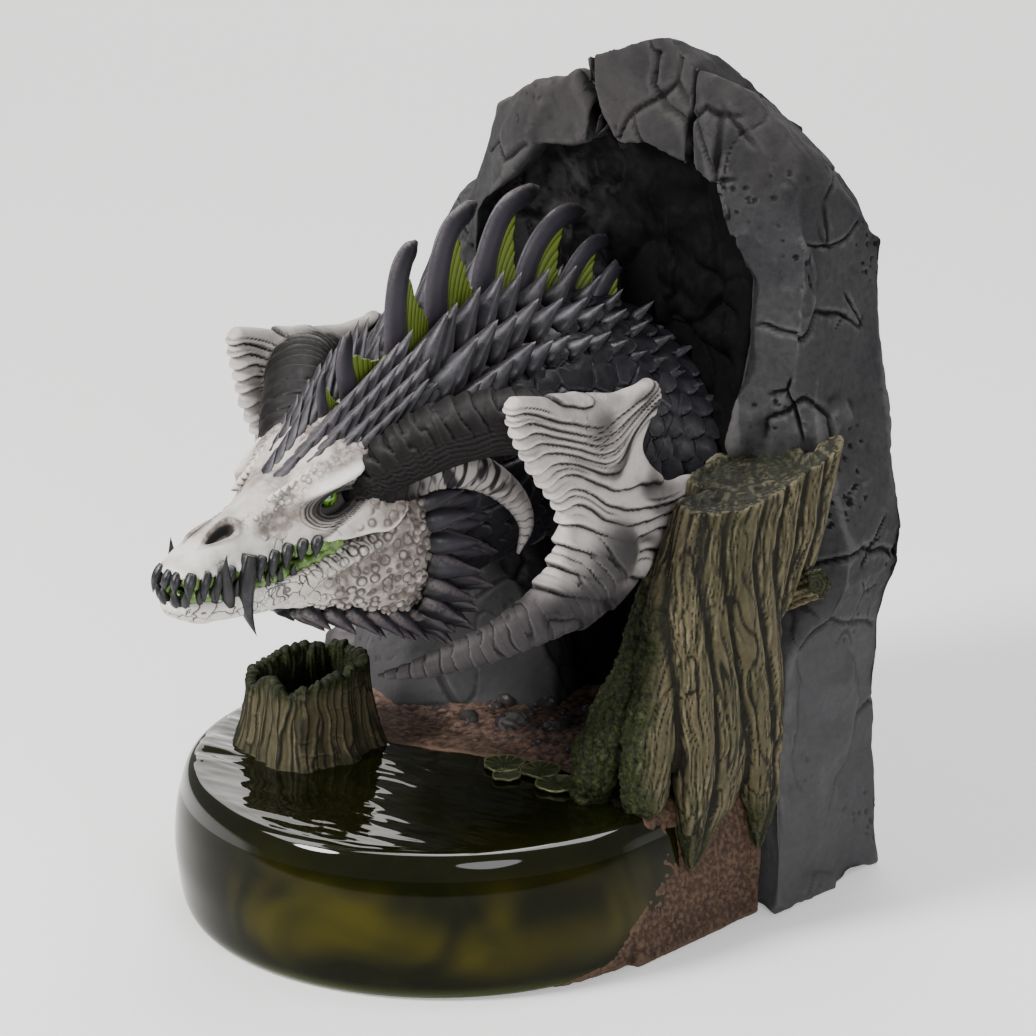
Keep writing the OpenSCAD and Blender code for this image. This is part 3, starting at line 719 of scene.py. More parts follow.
def plastic(name, base):
    """Moulded plastic with a faint grain."""
    rough = 0.45
    p = Paint(name, rough, 0.45)
    p.colour(p.mix(p.ramp(p.noise(6, 3), 0.35, 0.7), base, shade(base, 0.82)))
    p.put(p.bsdf.inputs["Roughness"], p.ramp(p.noise(2.5, 4), 0.3, 0.7, rough - 0.06, rough + 0.1))
    p.bump(p.noise(0.35, 3), 0.03)
    return p.mat


def steel():
    p = Paint("screw_steel_paint", 0.3, 0.5)
    p.bsdf.inputs["Metallic"].default_value = 1.0
    p.colour(p.mix(p.noise(0.8, 3), (0.55, 0.55, 0.57), (0.40, 0.40, 0.42)))
    p.bump(p.noise(0.25, 3, stretch=(1, 8, 1)), 0.02)
    return p.mat


# ---------------------------------------------------------------- rock

def seeded(who, salt=0):
    """Repeatable unit vectors, one per number."""
    return _GRAD[(who * 7 + salt * 31) & 255]


def chisel(p, size, depth, seed, tall=1.0, sharp=9.0):
    """Flat hewn planes that meet at bevelled edges. Returns the height, and how near a seam is (1 on it)."""
    q = p * (1, 1, 1 / tall)
    q = ((q + np.stack([noise(q, size * 0.9, seed + 40 + k) for k in range(3)], 1) * size * 0.14)
         / size + seed * 7.31)
    i = np.floor(q).astype(np.int64)
    total, weight = np.zeros(len(q)), np.zeros(len(q))
    d1, d2 = np.full(len(q), 1e9), np.full(len(q), 1e9)
    for step in AROUND:
        c = i + step
        h = _hash(c[:, 0], c[:, 1], c[:, 2])
        v = q - (c + 0.5 + (_SPOT[h] - 0.5) * 0.9)
        d = (v * v).sum(1)
        w = np.exp(-sharp * d)
        g = seeded(h, seed)
        total += w * ((v * g).sum(1) * 1.15 + 0.45 * seeded(h, seed + 5)[:, 0])
        weight += w
        near = d < d1
        d2 = np.where(near, d1, np.minimum(d2, d))
        d1 = np.where(near, d, d1)
    seam = (np.sqrt(d2) - np.sqrt(d1)) * size
    return depth * total / weight, seam


def rocky(s, extra):
    """Hewn planes, creases, meandering cracks and porous patches."""
    p, n = s.co.copy(), s.normals()
    a, seam_a = chisel(p, 42, 3.6, 3, 1.25, 8)
    b, seam_b = chisel(p, 17, 2.2, 5, 1.2, 9)
    c = chisel(p, 7, 0.6, 8, 1.0, 8)[0]
    broken = smoothstep(-0.1, 0.45, noise(p, 34, 21))
    split_a = bell(seam_a, 0.8) * smoothstep(0.12, 0.4, noise(p, 30, 31))
    split_b = bell(seam_b, 0.55) * smoothstep(0.38, 0.65, noise(p, 24, 33))
    thread = bell(noise(p * (1, 1, 0.55), 17, 61), 0.028) * smoothstep(0.15, 0.45, noise(p, 28, 63))
    porous = smoothstep(0.18, 0.5, noise(p, 25, 51))
    d1, _, who, _ = cells(p, 3.0, 17, 1.0)
    pits = smoothstep(1.25, 0.4, d1) * (seeded(who, 2)[:, 1] > -0.3) * porous
    d1, _, who, _ = cells(p, 6.0, 19, 1.0)
    big_pits = smoothstep(1.8, 0.8, d1) * (seeded(who, 3)[:, 2] > 0.5) * smoothstep(0.4, 0.9, porous)
    amount = (a + b * (0.4 + 0.6 * broken) + c * (0.3 + 0.7 * broken)
              + 0.6 * fbm(p, 12, 3, 61) * (0.4 + 0.6 * broken) - 2.2 * split_a - 1.1 * split_b
              - 0.8 * thread - 0.8 * pits - 1.2 * big_pits)
    amount = amount + extra(p)
    s.push(amount - 0.6, n)
    own = held(0.8 * split_a + 0.6 * split_b + 0.6 * thread + 0.75 * pits + 0.8 * big_pits)
    s.paint(2, 18, 1.0)
    s.values["wash"] = held(s.values["wash"] * 0.9 + own)
    # painted shade: the inside of the cave mouth is marked to be painted near black
    cave = band(p[:, 0], 66, 60, -38, -46) * smoothstep(229, 214, p[:, 2] + 0.5 * np.abs(p[:, 0] - 12))
    s.values["soot"] = held(smoothstep(45, 56, p[:, 1]) * cave)
    return s


def boulder_relief(p):
    """A rounded boulder standing out of the right side, low down."""
    bend = 0.30 * noise(p, 15, 81)
    d = np.sqrt(((p[:, 1] - 66) / 17) ** 2 + ((p[:, 2] - 56) / 23) ** 2) + bend
    side = smoothstep(72, 82, p[:, 0])
    return (side * (2.4 * smoothstep(1.05, 0.5, d)
                    - 0.8 * bell(d - 1.06, 0.05) * smoothstep(-0.1, 0.15, bend)))


SPLITS = [       # on the front of the rock, as (x, z), with their width and depth
    ([(1.5, 254), (5, 243), (10, 232), (14, 224)], 1.7, 7.5),
    ([(31, 256), (30, 247), (35, 240.5), (44, 238.5), (44.5, 226), (49, 215)], 0.8, 2.4),
    ([(44, 240), (50, 243), (58, 241)], 0.7, 1.8),
    ([(-38, 214), (-30, 219), (-24, 214), (-16, 221)], 0.7, 1.3),
    ([(24, 236), (28, 228), (34, 224)], 0.7, 1.6),
    ([(52, 206), (58, 203), (62, 206)], 0.8, 1.5),
]
SIDE_SPLITS = [  # on the right side, as (y, z)
    ([(46, 181), (54, 178), (62, 184), (74, 180)], 0.8, 1.9),
    ([(50, 138), (52, 152), (58, 158), (64, 152), (62, 138)], 0.8, 1.7),
    ([(48, 112), (60, 106), (73, 111), (90, 104)], 0.8, 1.9),
    ([(58, 206), (70, 202), (84, 207)], 0.7, 1.5),
    ([(50, 84), (66, 88), (88, 80)], 0.7, 1.5),
]


def fissure(p):
    """The deep split between the left block and the crown, and the cracks across the other faces."""
    sway = np.stack([noise(p, 7, 71), noise(p, 7, 72)], 1) * 1.1
    out = np.zeros(len(p))
    for lines, plane, where in ((SPLITS, [0, 2], smoothstep(76, 62, p[:, 1])),
                                (SIDE_SPLITS, [1, 2], smoothstep(66, 74, p[:, 0]))):
        q = p[:, plane] + sway
        for line, width, depth in lines:
            grow = width * (1 + (smoothstep(238, 212, p[:, 2]) if depth > 5 else 0))
            out -= depth * bell(polyline_distance(q, line), grow) * where
    return out


# the way out of the rock at its right rear corner
OUT_X, OUT_Y = 0.743, 0.669


def raised(p):
    """Lifts the peak, shapes the right side and cuts back the corner where the tree stands."""
    p = p.copy()
    x, y, z = p.T.copy()
    far = smoothstep(70, 112, OUT_X * x + OUT_Y * y)
    swell = np.interp(z, [0, 20, 40, 60, 80, 90, 100, 112, 122, 140, 155, 165, 180, 190, 200, 208,
                          220, 228, 240, 252],
                      [2, 1.5, -1.5, -2.7, -2.5, -1, 2.5, 3, 0, -4, -5.5, -5, -2.5, -0.8, 1.5, 3.8,
                       7, 5.5, 3, 4]) * far
    swell = swell - 2.5 * bell(z - 232, 14) * smoothstep(-30, -45, x)
    p[:, 0] = np.minimum(x + OUT_X * swell, 93.6)
    p[:, 1] = np.minimum(y + OUT_Y * swell, 100.5)
    p[:, 2] += ((6.5 * smoothstep(212, 246, z) + 2.0 * smoothstep(214, 240, z) * smoothstep(34, 52, x))
                * smoothstep(-6, 8, x))
    over = np.maximum(0.60 * (x - 60) - 0.80 * (y - 44), 0) * band(z, 82, 97, 152, 182)
    p[:, 0] -= 0.60 * over
    p[:, 1] += 0.80 * over
    return p


def cave_lining():
    """The cave's own back wall: a rough bowl that closes the cave behind the neck."""
    rim = catmull([(8, 44), (-16, 80), (-43, 104), (-40, 197), (-14, 226), (30, 232), (56, 225),
                   (66.5, 195), (62.5, 150), (63, 44), (8, 44)], 30)[:-1]
    rim = resample(np.c_[rim, 0 * rim[:, 0]], int(420 / FINE))[:-1, :2]
    t = np.linspace(0.02, 1, int(62 / FINE))[:, None]
    middle = np.array([14, 138])
    plan = middle + (rim - middle)[None] * (t ** 0.8)[..., None]
    front = np.stack([plan[..., 0], np.broadcast_to(56.0 - 6.0 * t ** 4, plan.shape[:2]),
                      plan[..., 1]], -1)
    rear = front[::-1][::6].copy()
    rear[..., 1] = 58.8
    inside = np.concatenate([np.broadcast_to(1 - 0.75 * t ** 3, plan.shape[:2]), np.ones(rear.shape[:2])])
    s = grid(np.concatenate([front, rear]), cap0=True, cap1=True, inside=inside).outward()
    seen = s.co[:, 1] < 58
    amount = (chisel(s.co, 30, 8.0, 13, 1.2, 8)[0] + chisel(s.co, 12, 3.4, 15, 1.0, 9)[0]
              + 1.4 * fbm(s.co, 9, 3, 5))
    crease = bell(noise(s.co * (1, 1, 0.6), 16, 64), 0.05)
    s.co[:, 1] -= seen * s.values.pop("inside") * (np.clip(amount + 1.5, -1.5, 9) - 2.0 * crease)
    s.paint(2, 12, 0.9)
    s.values["wash"] = held(s.values["wash"] + 0.8 * crease)
    # painted shade: the back wall is at least half darkened, and near black towards the right and low down,
    # deepest in the cave's shade
    deep = smoothstep(-45, 25, s.co[:, 0] + 0.25 * (190 - s.co[:, 2]))
    s.values["soot"] = 0.45 + 0.54 * deep
    return s


def make_rock():
    """The three rock blocks and the cave behind them."""
    mat = rock_paint()
    wall = from_cad("chute_wall", 1.6 * FINE, 2)
    # painted shade: the chute wall is marked near black all over, and the cave gets its own copy of the rock
    # paint with less shine, as it lies in shade
    wall.values.update(soot=np.full(len(wall.co), 0.95))
    piece("cave_back", joined([wall, cave_lining()]), rock_paint("cave_paint", 0.04), "rock",
          "chute_wall")
    for node in ("rock_left", "rock_crown", "rock_right"):
        s = from_cad(node, 0.85 * FINE, 5)
        s.co = raised(s.co)
        s = rocky(s, lambda p: boulder_relief(p) + fissure(p))
        piece(node + "_sculpted", s, mat, "rock", node)


# ---------------------------------------------------------------- earth, stones and water

def make_earth():
    """The earth bank, lumpy and pebbled where it lies flat."""
    s = from_cad("earth_base", 0.8 * FINE, 4)
    p, n = s.co.copy(), s.normals()
    floor = smoothstep(0.5, 0.85, n[:, 2]) * smoothstep(POND_TOP - 1, POND_TOP + 1, p[:, 2])
    d1, _, who, _ = cells(p, 3.1, 4, 1.0)
    pebble = smoothstep(1.7, 0.3, d1) * (seeded(who)[:, 0] > 0.15)
    lumps = fbm(p, 7, 3, 12)
    grains = fbm(p, 1.9, 2, 15)
    s.push(floor * (0.9 * lumps + 0.9 * pebble)
           + (1 - floor) * (0.30 * fbm(p, 9, 2, 5) + 0.22 * grains) + 0.25, n)
    shore = bell(p[:, 1] - 6 - 0.1 * p[:, 0], 16)
    s.paint(2, 8, 0.3)
    s.values["gravel"] = held(floor * (0.25 + shore) * (0.5 + 0.8 * pebble))
    piece("earth_bank", s, earth_paint(), "earth", "earth_base")


def lump(at, r, seed, rings=26):
    """One rough stone."""
    a = np.linspace(0, math.pi, rings)
    b = turns(rings * 2)
    d = np.stack([np.sin(a)[:, None] * np.cos(b), np.sin(a)[:, None] * np.sin(b),
                  np.repeat(np.cos(a)[:, None], len(b), 1)], -1)
    flat = d.reshape(-1, 3)
    f = chisel(flat * r + 100 * seed, r * 0.95, r * 0.30, seed)[0]
    k = r * (0.98 + 0.07 * noise(flat, 0.5, seed)) + f
    co = flat * k[:, None] * (1.05, 1.0, 0.82)
    s = grid((co + at).reshape(d.shape))
    return s.paint(2, 6, 0.12 * r)


def make_stones():
    spots = [(4, 14, 49.5, 4.4), (16, 18, 50, 2.4), (47, 18, 51, 8), (30, 30, 52, 4), (-74, 26, 48, 11)]
    rng = np.random.default_rng(5)
    small = []
    while len(small) < 46:
        x, y = rng.uniform(-12, 56), rng.uniform(3, 34)
        if y > 4 + 0.1 * x:
            z = np.interp(y, [4, 14, 41], [46, 49, 51])
            small.append((x, y, z + 0.2, rng.uniform(0.7, 1.9) if rng.random() < 0.85 else 3.0))
    shapes = [lump(np.array(s[:3]), s[3], 3 + k) for k, s in enumerate(spots)]
    shapes += [lump(np.array(s[:3]), s[3], 20 + k, 9) for k, s in enumerate(small)]
    p = painted("stone_paint", (0.13, 0.12, 0.118), (0.045, 0.040, 0.040), (0.22, 0.19, 0.18), rough=0.85,
                patch=(0.11, 0.10, 0.105), patch_size=8, grain=0.8, grain_depth=0.12, specular=0.2,
                relief=0.3)
    piece("shore_pebbles", joined(shapes), p.mat, "stone", "shore_stones")


def make_pond():
    y0, back, top = -14.0, 3.0, POND_TOP
    side = catmull([(71, 0), (75, 0.6), (77.6, 4.5), (79.2, 13), (80, 22), (79.3, 32), (77.6, 39.5),
                    (76.2, 43.4), (74.0, 45.5), (71, POND_TOP)], 9)
    side = side[np.r_[True, np.linalg.norm(np.diff(side, axis=0), axis=1) > 1e-6]]
    bottom = np.stack([np.linspace(2, 71, 12, endpoint=False), np.zeros(12)], 1)
    m = int(110 / FINE)
    lid = np.stack([np.linspace(71, 1, m)[1:], np.full(m - 1, top)], 1)
    prof = np.vstack([bottom, side, lid])
    arc = np.linspace(0, -math.pi, int(420 / FINE))
    rows = []
    for r, z in prof:
        y1 = back if r > 20 else back - 4
        ys = np.linspace(y1, y0, 10)[:-1]
        right = np.stack([np.full(9, r), ys], 1)
        bend = np.stack([r * np.cos(arc), y0 + r * np.sin(arc)], 1)
        left = np.stack([np.full(9, -r), ys[::-1]], 1)
        rear = np.stack([np.linspace(-r, r, 24)[1:-1], np.full(22, y1)], 1)
        plan = np.vstack([right, bend, left, rear])
        rows.append(np.c_[plan, np.full(len(plan), z)])
    co = np.array(rows)[:, ::-1]
    shoulder = int((prof[:len(bottom) + len(side), 1] < 38).sum())
    piece("pond_body", grid(co[:shoulder + 1], cap0=True), pond_resin("pond_resin", 0.25, 1.26),
          "water_resin", "pond")
    s = grid(co[shoulder:], cap1=True)
    p = s.co.copy()
    calm = smoothstep(POND_TOP - 0.4, POND_TOP, p[:, 2])
    q = p * (0.55, 1.25, 1)
    turn = np.stack([q[:, 0] * 0.86 + q[:, 1] * 0.5, q[:, 1] * 0.86 - q[:, 0] * 0.5, q[:, 2]], 1)
    ripple = 0.55 * noise(turn * (0.40, 1, 1), 6.5, 3) + 0.20 * noise(turn * (0.5, 1, 1), 3.0, 5)
    strength = 0.30 + 0.9 * smoothstep(-0.1, 0.4, noise(p, 42, 9)) * smoothstep(40, -20, p[:, 0])
    s.co[:, 2] += calm * ripple * strength - 0.15 * calm
    piece("pond_water", s, pond_resin("water_surface", 0.5, 1.38), "water_resin")


def make_pads():
    """Four veined lily leaves on the water."""
    shapes = []
    for k, (x, y, turn, r) in enumerate([(20.5, -8, 25, 6.4), (31.5, -4.5, 200, 6.2),
                                         (42.5, -9, 120, 6.6), (27, -14.5, 300, 4.2)]):
        rings, n = 26, 110
        t = np.linspace(0, 1, rings)[:, None]
        gap = math.radians(16)
        a = np.linspace(gap, TAU - gap, n)[None, :]
        open_up = 1 - 0.10 * bell((a - gap) / 0.2, 1) - 0.10 * bell((TAU - gap - a) / 0.2, 1)
        wob = 1 + 0.035 * np.sin(3 * a + k) + 0.02 * np.sin(7 * a + 2 * k)
        rr = r * t * wob * open_up
        vein = stripe(a / TAU * 13, 0.09) * smoothstep(0.08, 0.3, t)
        z = 0.9 + 0.55 * t ** 3 + 0.16 * np.sin(5 * a + k) * t ** 2 + 0.16 * vein * t
        up = np.stack([rr * np.cos(a), rr * np.sin(a), z + 0 * rr], -1)
        down = np.stack([rr * np.cos(a), rr * np.sin(a), z - 1.0 + 0 * rr], -1)[::-1]
        co = np.concatenate([up, down])
        c, s = math.cos(math.radians(turn)), math.sin(math.radians(turn))
        co = co @ np.array([[c, s, 0], [-s, c, 0], [0, 0, 1]]) + (x, y, POND_TOP)
        ve = np.concatenate([vein * 0.9 + smoothstep(0.88, 1, t) + 0 * a, 0 * rr], 0)
        one = grid(co, close_u=True, close_v=True)
        one.values["edge"] = held(ve.reshape(-1))
        below = np.concatenate([0.5 * (1 - vein) * (t < 0.9), 1 + 0 * rr], 0)
        one.values["wash"] = held(below.reshape(-1))
        shapes.append(one)
    piece("lily_leaves", joined(shapes), lily_paint(), "lily_pad", "lily_pads")


# ---------------------------------------------------------------- wood

class Strands:
    """A bundle of tapering round strands, and the smooth solid that they blend into."""

    def __init__(self, lines, blend):
        self.blend, self.segs = blend, []
        for k, line in enumerate(lines):
            c = resample(catmull(line, 8), max(8, int(len(line) * 3)))
            run = np.r_[0, np.cumsum(np.linalg.norm(np.diff(c[:, :3], axis=0), axis=1))]
            for i in range(len(c) - 1):
                self.segs.append((k, c[i, :3], c[i + 1, :3], c[i, 3], c[i + 1, 3], run[i], run[i + 1]))
        self.count = len(lines)

    def field(self, p, detail=False):
        n = len(p)
        best = np.full((self.count, n), 1e9)
        run = np.zeros((self.count, n)) if detail else None
        off = np.zeros((self.count, n, 3)) if detail else None
        for k, a, b, ra, rb, sa, sb in self.segs:
            ab = b - a
            t = held(((p - a) @ ab) / (ab @ ab))
            v = p - a - t[:, None] * ab
            d = np.sqrt((v * v).sum(1)) - (ra + (rb - ra) * t)
            near = d < best[k]
            best[k] = np.where(near, d, best[k])
            if detail:
                run[k] = np.where(near, sa + (sb - sa) * t, run[k])
                off[k] = np.where(near[:, None], v, off[k])
        low = best.min(0)
        total = low - self.blend * np.log(np.exp(-(best - low) / self.blend).sum(0))
        if not detail:
            return total
        who = best.argmin(0)
        i = np.arange(n)
        second = np.partition(best, 1, axis=0)[1] if self.count > 1 else best[0] + 9
        return total, who, run[who, i], off[who, i], second - low


def bark(s, strands):
    """Cuts long winding grooves that follow the strands."""
    depth, pitch = 0.95, 4.6
    _, who, run, off, gap = strands.field(s.co, True)
    n = s.normals()
    sway = np.stack([noise(s.co, 17, 4), noise(s.co, 17, 6)], 1) * 2.4
    flow = np.c_[off[:, :2] + sway + 37.0 * who[:, None], run * 0.04]
    coarse, fine = noise(flow, pitch, 7), noise(flow, pitch * 0.34, 9)
    groove, hair = bell(coarse, 0.06), bell(fine, 0.13)
    between = bell(gap, 1.4)
    knot = bell(noise(s.co * (1, 1, 0.5), 13, 15) - 0.42, 0.10)
    amount = (0.6 * depth * (held(np.abs(coarse) / 0.3) ** 0.6 - 0.8)
              + 0.5 * depth * (held(np.abs(fine) / 0.4) ** 0.6 - 0.8) - 1.1 * depth * between
              + 0.4 * noise(s.co, 11, 3) + 0.3 * knot)
    s.push(amount, n)
    s.paint(2, 9, 0.8)
    s.values["wash"] = held(s.values["wash"] * 0.8 + 0.6 * groove + 0.35 * hair + 0.6 * between)
    return s


def trunk_lines():
    """Strands from the cut top down into the roots: [x, y, z, radius]."""
    return [
        [(62.8, 22.8, 121.9, 4.5), (61.6, 19, 114, 5), (60.5, 13.5, 99.9, 6), (59.9, 7.6, 82.6, 7),
         (58.5, -0.4, 68.9, 8), (56.8, -7.3, 56.3, 7), (55.7, -9.6, 48, 5)],
        [(68.3, 20.5, 129.4, 5.5), (68.8, 13, 111.5, 6.5), (69.9, 8.1, 94.7, 7),
         (71, 2.8, 77.9, 7.5), (72, -2.1, 63.8, 7.5), (72.5, -4.7, 50, 6.4)],
        [(73, 23, 142, 5.5), (72.5, 15, 118.8, 6.5), (76, 9.7, 98.9, 6.5), (79, 8.7, 78.3, 6),
         (79.5, 9.5, 58.7, 6), (80, 8.1, 42, 4.5), (82, 5.8, 27.2, 1.0)],
        [(78, 25, 144, 5.5), (77, 18, 119.5, 6), (79, 15.6, 98.3, 6), (79.6, 19.6, 74.8, 6),
         (79.8, 19.8, 55.3, 5.6), (80.5, 13.6, 38.6, 3.6), (82, 8, 28.3, 1.0)],
        [(83.5, 30, 146, 5.5), (81.5, 23, 119, 6), (80.8, 27.2, 94.9, 6.5), (79.8, 33.4, 70.6, 6.5),
         (79.5, 36.5, 50.2, 5.6), (81, 37.2, 34.2, 3.6), (82.5, 35.8, 24.5, 0.9)],
        [(85, 37, 148, 5.5), (82.5, 31.3, 119.5, 6), (80.8, 35.3, 95.8, 6.3),
         (79.8, 40.7, 71.7, 5.8), (80.2, 42, 51.7, 4.6), (81.3, 40.7, 36.3, 3.0),
         (82.8, 36.8, 26.1, 0.9)],
        [(86, 45, 150, 5), (83.5, 40.2, 120.1, 5.5), (79.8, 40.0, 97.2, 5.3),
         (79.5, 41.3, 74.2, 4.6), (81, 43, 58, 3)],
        [(87, 53, 152, 4.5), (85, 49.1, 124.2, 5), (82.2, 45.6, 106, 4.6), (79.6, 42.0, 93, 3)],
        [(88.6, 62, 154, 3.4), (86.4, 55.7, 129, 4), (84.6, 52.1, 110.9, 3.6)],
        [(70, 40, 145, 11), (69, 37.3, 111.1, 13), (68.5, 31.5, 84.3, 13.5),
         (69.8, 25.3, 57.3, 13.5), (70, 22, 44, 12)],
        [(76, 47, 146, 10), (74, 42, 120, 11)],
        [(64, 34, 142, 5.0), (62, 30.4, 122, 5.5), (60.5, 29.4, 104, 7), (59.5, 26.1, 86.7, 8),
         (60, 18, 60, 8)],
    ]


CUT_AT = np.array([74.0, 38.0, 139.0])
CUT_NORMAL = unit(np.array([0.0, -0.23, 1.0]))


def make_tree():
    """The leaning trunk with its roots and its cut top."""
    strands = Strands(trunk_lines(), 1.5)
    n = CUT_NORMAL

    def lid(p, d):
        """How far above the cut face: sunk inside a jagged rim, with the outer corner left high."""
        rise = 1.0 * noise(p * (1, 1, 0.1), 5, 4) + 2.0 * smoothstep(50, 66, p[:, 1])
        return (p - CUT_AT) @ n - rise + 1.8 * smoothstep(-2.0, -3.6, d)

    def field(p):
        d = strands.field(p)
        rock = np.minimum(np.minimum(p[:, 1] - 44.0, 86.5 - p[:, 0]),
                          0.80 * (p[:, 1] - 44) - 0.60 * (p[:, 0] - 60) - 1.5)
        return np.maximum(np.maximum(d, lid(p, d)), rock)

    s = surface_nets(field, (40, -18, 22), (96, 72, 160), 0.70 * FINE)
    s.relax(1)
    d = strands.field(s.co)
    top = smoothstep(-1.2, -0.3, lid(s.co, d)) * smoothstep(-0.3, -1.2, d)
    before = s.co.copy()
    bark(s, strands)
    s.co = before + (s.co - before) * (1 - top)[:, None]
    flat = s.co - CUT_AT - (0, 3, 0)
    flat = flat - (flat @ n)[:, None] * n
    rr = np.linalg.norm(flat * (1.0, 0.82, 1)
                        + 0.9 * np.stack([noise(s.co, 9, 3), noise(s.co, 9, 5), 0 * top], 1), axis=1)
    ring = stripe(rr / 1.7, 0.2) * top * smoothstep(27, 22, rr)
    s.co -= n * (0.55 * ring)[:, None]
    s.values["wash"] = held(s.values["wash"] * (1 - 0.6 * top) + 0.35 * top + 0.9 * ring)
    q = s.co
    reach = q[:, 0] + 0.35 * q[:, 1] + 0.10 * (q[:, 2] - 60)
    moss = (smoothstep(80, 71, reach + 5 * noise(q, 9, 5)) * smoothstep(122, 98, q[:, 2])
            * smoothstep(-22, -14, -q[:, 1]))
    tips = smoothstep(44, 34, q[:, 2])
    s.values["moss"] = held(moss + 0.8 * tips + 0.45 * top
                            + 0.35 * smoothstep(0.1, 0.6, noise(q, 16, 23))
                            * smoothstep(110, 138, q[:, 2]))
    fuzz = moss * (0.9 * fbm(q, 1.6, 3, 5) + 0.7 * noise(q, 7, 8) + 0.5)
    s.push(fuzz, s.normals())
    piece("trunk_with_roots", s, bark_paint(), "tree_bark", "tree_trunk", "tree_roots")


def make_branch():
    """The short sawn branch on the trunk's right side."""
    a, b = np.array([75.5, 53.0, 97.2]), np.array([91.3, 51.6, 105.4])
    rings, sides = int(60 / FINE), int(90 / FINE)
    axis = unit(b - a)
    u = unit(np.cross(axis, (0, 0, 1)))
    v = np.cross(u, axis)
    t = np.linspace(0, 1, rings)[:, None]
    ang = turns(sides)[None, :]
    p0 = a + (b - a) * t[..., None] + 0 * ang[..., None]
    r = (5.0 - 1.2 * t + 0.4 * smoothstep(0.75, 1.0, t) + 0.35 * np.sin(ang * 5 + 3 * t)
         + 0.25 * np.sin(ang * 11 + 2))
    co = p0 + r[..., None] * (np.cos(ang)[..., None] * u + np.sin(ang)[..., None] * v)
    inner = np.linspace(1, 0.03, 16)[:, None]
    ring = stripe(inner * 3.2, 0.2)
    end = (b - axis * (0.5 + 1.6 * (1 - inner) ** 1.5 * 0.8 + 0.3 * ring)[..., None]
           + (r[-1][None] * inner)[..., None] * (np.cos(ang)[..., None] * u + np.sin(ang)[..., None] * v))
    s = grid(np.concatenate([co, end])[:, ::-1], cap1=True)
    n = s.normals()
    body = np.r_[np.ones(rings * sides), np.zeros(len(s.co) - rings * sides)]
    s.push(body * (0.35 * noise(s.co * (0.5, 0.5, 2), 3, 5) + 0.2 * noise(s.co, 1.6, 6)), n)
    s.paint(2, 7, 0.3)
    moss = np.r_[np.zeros(rings * sides), np.ones(len(s.co) - rings * sides)] * 0.8
    s.values["moss"] = moss
    piece("cut_branch", s, bpy.data.materials["bark_paint"], "tree_bark", "branch_stub")


def make_stump():
    """The hollow broken stump standing in the pond."""
    rings, sides = int(150 / FINE), int(420 / FINE)
    a = turns(sides)
    u = np.linspace(0, 1, rings)
    cx, cy, z0 = -37.0, -33.0, 44.5
    ring_pts = np.stack([np.cos(a), np.sin(a), 0 * a], 1)
    lobes = 2.0 * noise(ring_pts, 0.40, 3) + 1.6 * noise(ring_pts, 0.85, 8)
    rim = (69.6 + 2.6 * noise(ring_pts, 0.30, 12) + 3.0 * np.abs(noise(ring_pts, 0.20, 14))
           + 1.6 * np.cos(a - 0.9) - 2.0 * bell(np.angle(np.exp(1j * (a - 3.9))), 0.5))
    rows, inner_v, flat = [], [], []
    out_r = lambda h: 17.6 + 4.4 * (1 - h) ** 2.2 + lobes * (1.1 + 1.0 * (1 - h))
    for x in u:
        if x < 0.62:
            h = x / 0.62
            r, z, inside = out_r(h), z0 + h * (rim - z0), 0.0
        elif x < 0.70:
            k = (x - 0.62) / 0.08
            r = out_r(1.0) - 2.4 * k
            z, inside = rim + 0.5 * math.sin(math.pi * k) - 0.4 * k, 0.25 * k
        elif x < 0.92:
            h = 1 - (x - 0.70) / 0.22
            r = out_r(h) - 2.4 - 2.4 * (1 - h)
            z, inside = 57 + h * (rim - 0.4 - 57), 1.0
        else:
            k = (x - 0.92) / 0.08
            r = (out_r(0.0) - 4.8) * (1 - 0.97 * k)
            z, inside = 57 - 0.8 * k + 0 * a, 1.0
        rows.append(np.stack([cx + r * np.cos(a) * 1.02, cy + r * np.sin(a) * 0.98, z + 0 * a], 1))
        inner_v.append(np.full(sides, inside))
        flat.append(np.full(sides, x))
    s = grid(np.array(rows)[:, ::-1], cap1=True, deep=np.array(inner_v), run=np.array(flat))
    n = s.normals()
    p = s.co.copy()
    deep, run = s.values.pop("deep"), s.values.pop("run")
    ang = np.arctan2(p[:, 1] - cy, p[:, 0] - cx)
    flow = np.stack([17 * np.cos(ang) + 0.9 * noise(p, 7, 4),
                     17 * np.sin(ang) + 0.9 * noise(p, 7, 5), p[:, 2] * 0.08], 1)
    d1, d2 = cells(flow, 2.6, 9, 0.9)[:2]
    groove = bell(d2 - d1, 0.5)
    fine = noise(flow * (1, 1, 1.3), 0.9, 3)
    cross = stripe((p[:, 2] + 1.2 * noise(p, 5, 7)) / 4.3, 0.10) * smoothstep(0.1, 0.5, noise(p, 8, 22))
    outer = 1 - smoothstep(0, 1, deep)
    s.push(outer * (-0.8 * groove + 0.3 * fine - 0.35 * cross + 0.5 * noise(flow, 6, 5))
           + deep * (0.5 * fine - 0.6 * groove), n)
    s.paint(2, 9, 0.7)
    # painted shade: darker low down inside the hollow, added to the wash
    s.values["wash"] = held(s.values["wash"] * 0.8 + 0.45 * groove * outer
                            + 0.75 * smoothstep(72, 60, p[:, 2]) * deep)
    top = smoothstep(0.50, 0.60, run)
    s.values["moss"] = held(0.95 * deep + 0.9 * top + 0.3 * smoothstep(50, 46.5, p[:, 2]) * outer)
    piece("hollow_stump", s, bpy.data.materials["bark_paint"], "stump_bark", "stump_hollow")


# ---------------------------------------------------------------- inner parts, the CAD nodes as they are

